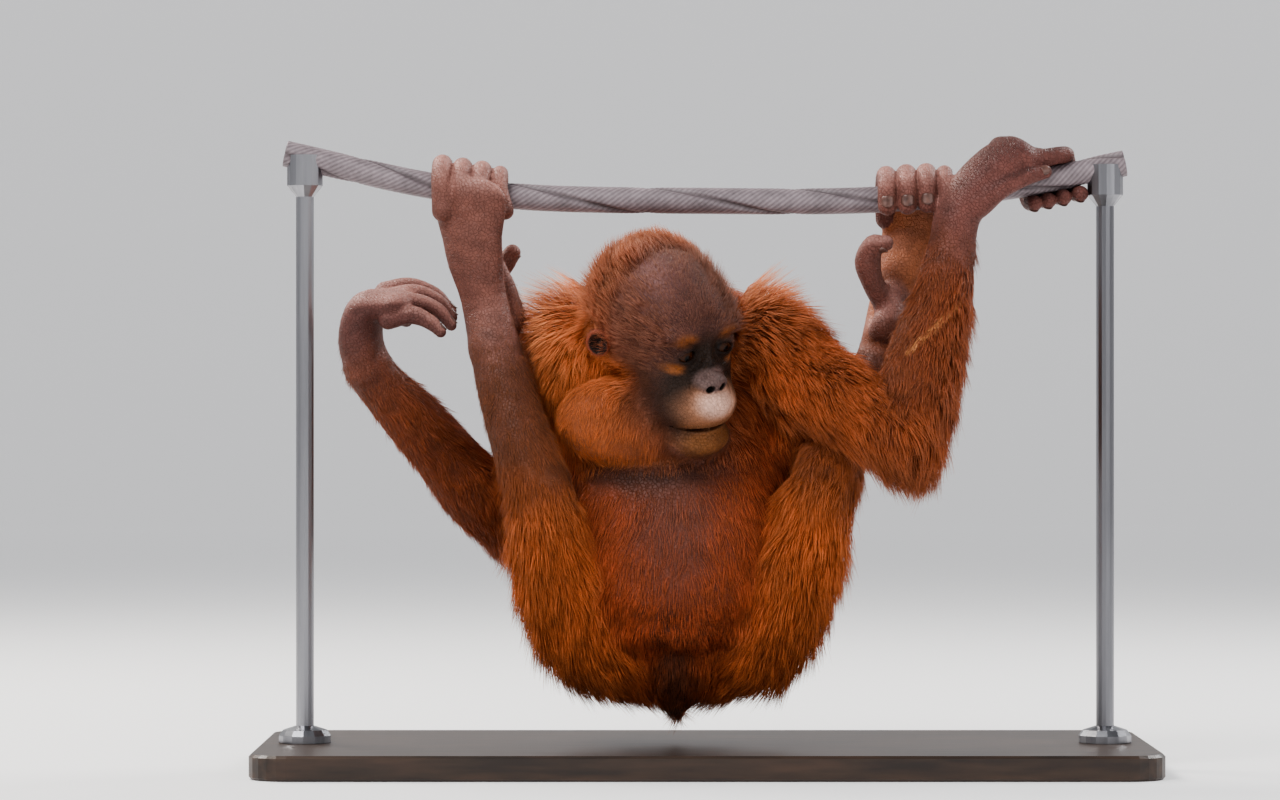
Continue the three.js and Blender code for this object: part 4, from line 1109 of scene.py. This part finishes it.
# Limbs: the part, how many tufts it has on the right and on the left, and their kind.
LIMB_COATS = [
    ("upper_arm", 9000, 13500, LONG), ("forearm", 10500, 11500, LONG), ("thigh", 11500, 10500, LONG),
    ("shin", 11000, 11000, STUB), ("hand", 3500, 3500, STUB), ("foot", 5000, 3500, STUB),
]
for part, right, left, kind in LIMB_COATS:
    for name, number in ((f"{part}_right", right), (f"{part}_left", left)):
        COATS.append((f"coat_{name}", [name], BONES[name], number, kind, None))


def make_coat(name, parts, form, number, kind, which, material):
    chosen = np.isin(FACE_PLACES.owner, [NAMES.index(part) for part in parts])
    if which in ("front", "back"):
        facing = FACE_PLACES.n[:, 1] < 0.1
        chosen &= facing if which == "front" else ~facing
    if form is None:
        chosen &= HEAD_SIDES == which
    p, n = scatter(np.nonzero(chosen)[0], number)
    places = Places(p, n)
    length = np.maximum(hair_length(places), 1.6) * rng.uniform(0.7, 1.25, number)
    width = np.interp(length, [2, 6, 15, 35], [0.24, 0.36, 0.52, 0.72]) * rng.uniform(0.7, 1.3, number)
    points = grow(places, length, width, kind)
    count = points.shape[1]
    tuft, spots = tuft_faces(len(kind[0]))
    faces = (tuft[None] + (np.arange(number) * count)[:, None, None]).reshape(-1, 3)
    obj = mesh_object(name, points.reshape(-1, 3), faces)
    colour = coat_colours(places) * rng.uniform(0.78, 1.25, (number, 1))
    # Painted shade darkens each tuft towards its root; the tip is lightened, partly as paler hair and partly
    # as painted sheen.
    shade = np.append(np.repeat(kind[2][:-1], 3), kind[2][-1])[None, :, None]
    colour = mix(colour[:, None, :] * shade, PALE_TIP_AND_SHEEN, 0.4 * np.maximum(shade - 0.95, 0))
    colour_points(obj, "Coat", colour.reshape(-1, 3))
    spot = 0.01 + 0.98 * unwrap(form, p)
    patches = spot[:, None, None, :] + (spots[None] - 0.5) * PATCH
    obj.data.uv_layers.new(name=UV_NAME).data.foreach_set("uv", patches.reshape(-1).astype(np.float32))
    obj.data.materials.append(material)
    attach(obj, "root")
    return obj


# Materials.
def new_material(name):
    material = bpy.data.materials.new(name)
    material.use_nodes = True
    nodes = material.node_tree.nodes
    return material, nodes, material.node_tree.links, nodes["Principled BSDF"]


def node(nodes, kind, **inputs):
    made = nodes.new(kind)
    for name, value in inputs.items():
        made.inputs[name.replace("_", " ")].default_value = value
    return made


def bumped(nodes, links, source, depth, before=None):
    """A bump of this depth in metres, laid over the one before."""
    bump = node(nodes, "ShaderNodeBump", Distance=depth, Strength=1.0)
    links.new(source, bump.inputs["Height"])
    if before:
        links.new(before.outputs["Normal"], bump.inputs["Normal"])
    return bump


def painted(name, layer, roughness, bumps, specular=0.5, creases=0.0):
    """Colours from a painted layer, with bumps (size, height) and creases this deep, in metres."""
    material, nodes, links, shader = new_material(name)
    colour = nodes.new("ShaderNodeVertexColor")
    colour.layer_name = layer
    links.new(colour.outputs["Color"], shader.inputs["Base Color"])
    shader.inputs["Roughness"].default_value = roughness
    shader.inputs["Specular IOR Level"].default_value = specular
    place = nodes.new("ShaderNodeTexCoord")
    before = None
    for size, height in bumps:
        noise = node(nodes, "ShaderNodeTexNoise", Scale=1 / size, Detail=3.0)
        links.new(place.outputs["Object"], noise.inputs["Vector"])
        before = bumped(nodes, links, noise.outputs["Fac"], height, before)
    if creases:
        cells = node(nodes, "ShaderNodeTexVoronoi", Scale=380.0)
        cells.feature = "DISTANCE_TO_EDGE"
        edge = node(nodes, "ShaderNodeMapRange", From_Max=0.12)
        links.new(place.outputs["Object"], cells.inputs["Vector"])
        links.new(cells.outputs["Distance"], edge.inputs["Value"])
        before = bumped(nodes, links, edge.outputs["Result"], creases, before)
    if before:
        links.new(before.outputs["Normal"], shader.inputs["Normal"])
    return material


def simple(name, low, high, scale, stretch, roughness, metallic=0.0, bump=0.0):
    """A material whose colour and bumps vary with a stretched noise."""
    material, nodes, links, shader = new_material(name)
    place = nodes.new("ShaderNodeTexCoord")
    mapping = nodes.new("ShaderNodeMapping")
    mapping.inputs["Scale"].default_value = stretch
    noise = node(nodes, "ShaderNodeTexNoise", Scale=scale, Detail=6.0)
    colours = nodes.new("ShaderNodeValToRGB")
    for element, spot, colour in zip(colours.color_ramp.elements, (0.35, 0.7), (low, high)):
        element.position = spot
        element.color = (*linear(*colour), 1)
    links.new(place.outputs["Object"], mapping.inputs["Vector"])
    links.new(mapping.outputs["Vector"], noise.inputs["Vector"])
    links.new(noise.outputs["Fac"], colours.inputs["Fac"])
    links.new(colours.outputs["Color"], shader.inputs["Base Color"])
    height = bumped(nodes, links, noise.outputs["Fac"], bump)
    links.new(height.outputs["Normal"], shader.inputs["Normal"])
    shader.inputs["Roughness"].default_value = roughness
    shader.inputs["Metallic"].default_value = metallic
    return material


# Skin and coat.
face_middles = SKIN_POINTS[SKIN_FACES].mean(1)
FACE_PLACES = Places(face_middles, unit(face_normals(SKIN_POINTS, SKIN_FACES)))
FACE_DENSITY = hair_density(FACE_PLACES)
HAIRY_HEAD = np.maximum(crown(FACE_PLACES.q), cheek_side(FACE_PLACES.q)) > 0.35
HEAD_SIDES = np.where(face_mask(FACE_PLACES.q) > 0.5, "face", np.where(HAIRY_HEAD, "crown", "scalp"))
SKIN_PLACES = Places(SKIN_POINTS, SKIN_NORMALS)

skin = mesh_object("skin", SKIN_POINTS, SKIN_FACES)
colour_points(skin, "Skin", skin_colours(SKIN_PLACES))
skin.data.materials.append(painted("skin", "Skin", 0.52, [(0.006, 0.0006), (0.0014, 0.0003)], 0.25, 0.0004))
FLESH = ["torso", "neck", "head", "ear_right", "ear_left"]
FLESH += [f"{part}_{side}" for part in ("upper_arm", "forearm", "hand", "thigh", "shin", "foot")
          for side in ("right", "left")]
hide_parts(*FLESH)
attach(skin, "root")
hair = painted("hair", "Coat", 0.5, [], 0.3)
for row in COATS:
    make_coat(*row, hair)


# Eyes.
def make_eye(name, side):
    rings, sides = 40, 48
    gaze = unit(HEAD_AXES @ np.array([0.08 * side, 1, -0.12]))
    across = unit(np.cross(gaze, UP))
    over = np.cross(across, gaze)
    centre = HEAD_CENTRE + HEAD_AXES @ (EYE * [side, 1, 1])
    polar = np.pi * (np.arange(rings + 1) / rings) ** 1.5
    points, tints = [], []
    for angle in polar:
        bulge = 0.7 * bell(angle, 0, 0.42)
        for j in range(sides):
            phi = 2 * math.pi * j / sides
            r = EYE_RADIUS + bulge
            flat = (across * math.cos(phi) + over * math.sin(phi)) * math.sin(angle)
            points.append(centre + (gaze * math.cos(angle) + flat) * r)
            streak = 0.85 + 0.3 * math.sin(phi * 17) * math.sin(phi * 5 + 1)
            iris = linear(60, 32, 16) * streak
            tint = mix(linear(8, 6, 5), iris, ramp(angle, 0.2, 0.26))
            tint = mix(tint, linear(20, 12, 9), ramp(angle, 0.5, 0.62))
            tints.append(mix(tint, linear(34, 24, 19), ramp(angle, 0.64, 0.85)))
    ring = [(j, (j + 1) % sides) for j in range(sides)]
    faces = [[i * sides + j, (i + 1) * sides + j, (i + 1) * sides + k, i * sides + k]
             for i in range(rings) for j, k in ring]
    obj = mesh_object(name, points, faces)
    colour_points(obj, "Eye", np.array(tints))
    return obj


wet = painted("eye", "Eye", 0.08, [], 0.16)
for name, side in (("right", 1), ("left", -1)):
    eye = make_eye(f"eyeball_{name}", side)
    eye.data.materials.append(wet)
    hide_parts(f"eye_{name}")
    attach(eye, "root")


# Nails.
NAIL = {"long": 6.0, "spread": 0.72, "lift": 0.35, "thick": 0.6}


def nail_points(tube, toward):
    """A curved plate on the last stretch of a digit, on the side that faces this way."""
    _, _, side, deep, _ = tube.ring(1.0)
    middle = math.atan2(toward @ deep, toward @ side)
    total = np.linalg.norm(np.diff(tube.line, axis=0), axis=1).sum()
    rows, columns = 6, 8
    sheets = []
    for grow in (NAIL["lift"], NAIL["lift"] - NAIL["thick"]):
        for i in range(rows + 1):
            share = i / rows
            half = NAIL["spread"] * (1 - 0.35 * (2 * share - 1) ** 4)
            u = 1 - NAIL["long"] * (1 - share) / total
            for j in range(columns + 1):
                across = 2 * j / columns - 1
                past = tube.along[-1] * 1.6 * share**3 * (1 - 0.5 * across**2)
                raised = grow + 0.5 * share**2 - 0.3 * across**4
                sheets.append(tube.at(u, middle + half * across, raised) + past)
    faces = []
    wide, layer = columns + 1, (rows + 1) * (columns + 1)
    for i in range(rows):
        for j in range(columns):
            a = i * wide + j
            outer = np.array([a, a + 1, a + wide + 1, a + wide])
            faces += [outer, layer + outer[::-1]]
    rim = [j for j in range(wide)] + [i * wide + columns for i in range(1, rows + 1)]
    rim += [rows * wide + j for j in range(columns - 1, -1, -1)] + [i * wide for i in range(rows - 1, 0, -1)]
    faces += [[b, a, a + layer, b + layer] for a, b in zip(rim, rim[1:] + rim[:1])]
    return np.array(sheets), np.array(faces)


def nail_direction(name, tube):
    tip = tube.line[-1]
    if name == "hand_right":
        toward = np.array([0.7, 0.0, 0.7])
    else:
        toward = tip - [tip[0], 0, rope_height(tip[0])]
    along = tube.along[-1]
    return unit(toward - along * (toward @ along))


def make_nails(name, material):
    points, faces, count = [], [], 0
    for tube in [THUMBS[name], *DIGITS[name]]:
        sheet, quads = nail_points(tube, nail_direction(name, tube))
        points.append(sheet)
        faces.append(quads + count)
        count += len(sheet)
    obj = mesh_object(f"nails_{name}", np.vstack(points), np.vstack(faces))
    obj.data.materials.append(material)
    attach(obj, "root")


horn = simple("nail", (72, 48, 42), (116, 84, 74), 220, (1, 1, 1), 0.36, bump=0.0001)
for name in DIGITS:
    make_nails(name, horn)


# Rope.
def make_rope():
    around, rows = 72, 720
    steps = np.linalg.norm(np.diff(ROPE_LINE, axis=0), axis=1)
    run = np.concatenate([[0], np.cumsum(steps)])
    s = np.linspace(0, run[-1], rows)
    middle = np.stack([np.interp(s, run, ROPE_LINE[:, k]) for k in range(3)], 1)
    along = unit(np.gradient(middle, axis=0))
    side = np.array([0.0, 1.0, 0.0])
    up = np.cross(along, side)
    phi = np.linspace(0, 2 * math.pi, around, endpoint=False)
    twist = s / ROPE_TURN * 2 * math.pi
    turn = np.repeat(phi[None, :], rows, 0)
    groove = np.maximum(0, np.cos(2 * turn)) ** 10
    ribs = np.abs(np.sin(8 * turn + s[:, None] * 0.9))
    r = ROPE_RADIUS - ROPE_GROOVE * groove - 0.35 * (1 - ribs)
    angle = turn + twist[:, None]
    points = middle[:, None] + (np.cos(angle) * r)[:, :, None] * side
    points = points + (np.sin(angle) * r)[:, :, None] * up[:, None]
    points = np.vstack([points.reshape(-1, 3), middle[:1], middle[-1:]])
    faces = []
    for i in range(rows - 1):
        for j in range(around):
            k = (j + 1) % around
            a, b = i * around, (i + 1) * around
            faces += [[a + j, a + k, b + k], [a + j, b + k, b + j]]
    start, end = rows * around, rows * around + 1
    last = (rows - 1) * around
    for j in range(around):
        k = (j + 1) % around
        faces += [[start, k, j], [end, last + j, last + k]]
    obj = mesh_object("rope_laid", points, faces)
    # Painted shade in the grooves and between the ribs, and painted highlight on the ribs' crests.
    tints = mix(linear(76, 66, 68), linear(138, 126, 130), (ribs * (1 - 0.8 * groove)).reshape(-1, 1))
    tints = tints * (1 + 0.2 * MEDIUM(points[:-2]) + 0.15 * FINE(points[:-2]))[:, None]
    colour_points(obj, "Rope", np.vstack([tints, linear(90, 80, 80), linear(90, 80, 80)]))
    return obj


rope = make_rope()
rope.data.materials.append(painted("rope", "Rope", 0.5, [(0.0012, 0.00015)]))
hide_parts("rope")
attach(rope, "root")


def dress(node_name, material):
    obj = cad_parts[node_name]
    obj.data.materials.clear()
    obj.data.materials.append(material)


dress("stand_base", simple("dark_wood", (38, 28, 22), (66, 48, 36), 14, (1, 14, 8), 0.38, bump=0.0002))
steel = simple("satin_steel", (120, 120, 124), (160, 160, 164), 60, (1, 1, 0.05), 0.3,
               metallic=1.0, bump=0.00002)
dress("stand_rod_right", steel)
dress("stand_rod_left", steel)


# Stage, light and camera.
def make_stage():
    """A round pale floor that curves up into a low wall on all sides."""
    flat, curve, rise, sides = 6500, 1500, 4500, 72
    bend = np.linspace(0.1, math.pi / 2, 12)
    profile = [(flat, 0.0)] + [(flat + math.sin(a) * curve, curve * (1 - math.cos(a))) for a in bend]
    profile.append((flat + curve, rise))
    turns = [2 * math.pi * j / sides for j in range(sides)]
    points = [(r * math.cos(t), r * math.sin(t), z) for r, z in profile for t in turns] + [(0, 0, 0)]
    faces = []
    for j in range(sides):
        k = (j + 1) % sides
        faces.append([len(points) - 1, j, k])
        for i in range(len(profile) - 1):
            a, b = i * sides, (i + 1) * sides
            faces += [[a + j, b + j, b + k], [a + j, b + k, a + k]]
    obj = mesh_object("floor", points, faces)
    material, _, _, shader = new_material("floor")
    shader.inputs["Base Color"].default_value = (0.66, 0.65, 0.64, 1)
    shader.inputs["Roughness"].default_value = 0.9
    shader.inputs["Emission Color"].default_value = (0.95, 0.96, 1.0, 1)
    shader.inputs["Emission Strength"].default_value = 0.3
    obj.data.materials.append(material)


def lamp(name, place, power, size, colour=(1, 1, 1), target=(0, 0, 250)):
    data = bpy.data.lights.new(name, "AREA")
    data.energy = power
    data.size = size
    data.color = colour
    obj = bpy.data.objects.new(name, data)
    obj.location = Vector(place) * MM
    obj.rotation_euler = (Vector(target) - Vector(place)).to_track_quat("-Z", "Y").to_euler()
    bpy.context.scene.collection.objects.link(obj)


make_stage()
lamp("key", (-1300, -1700, 2400), 75, 1.2)
lamp("fill", (2200, -2000, 1300), 16, 1.8)
lamp("rim", (-1400, 1100, 1900), 60, 0.9, (1, 0.96, 0.9))
lamp("rim_right", (1500, 1100, 1600), 34, 0.9)
world = bpy.data.worlds.new("studio")
world.use_nodes = True
world.node_tree.nodes["Background"].inputs["Color"].default_value = (0.9, 0.92, 0.95, 1)
world.node_tree.nodes["Background"].inputs["Strength"].default_value = 0.35
bpy.context.scene.world = world
bpy.context.scene.view_settings.look = "AgX - Medium High Contrast"

CAMERA = {"x": -46.8, "z": 264.6, "away": 3500, "view_width": 921.6}
camera_data = bpy.data.cameras.new("camera")
camera_data.sensor_width = 36
camera_data.lens = 36 * CAMERA["away"] / CAMERA["view_width"]
camera = bpy.data.objects.new("camera", camera_data)
camera.location = Vector((CAMERA["x"], -CAMERA["away"], CAMERA["z"])) * MM
camera.rotation_euler = (math.pi / 2, 0, 0)
bpy.context.scene.collection.objects.link(camera)
bpy.context.scene.camera = camera
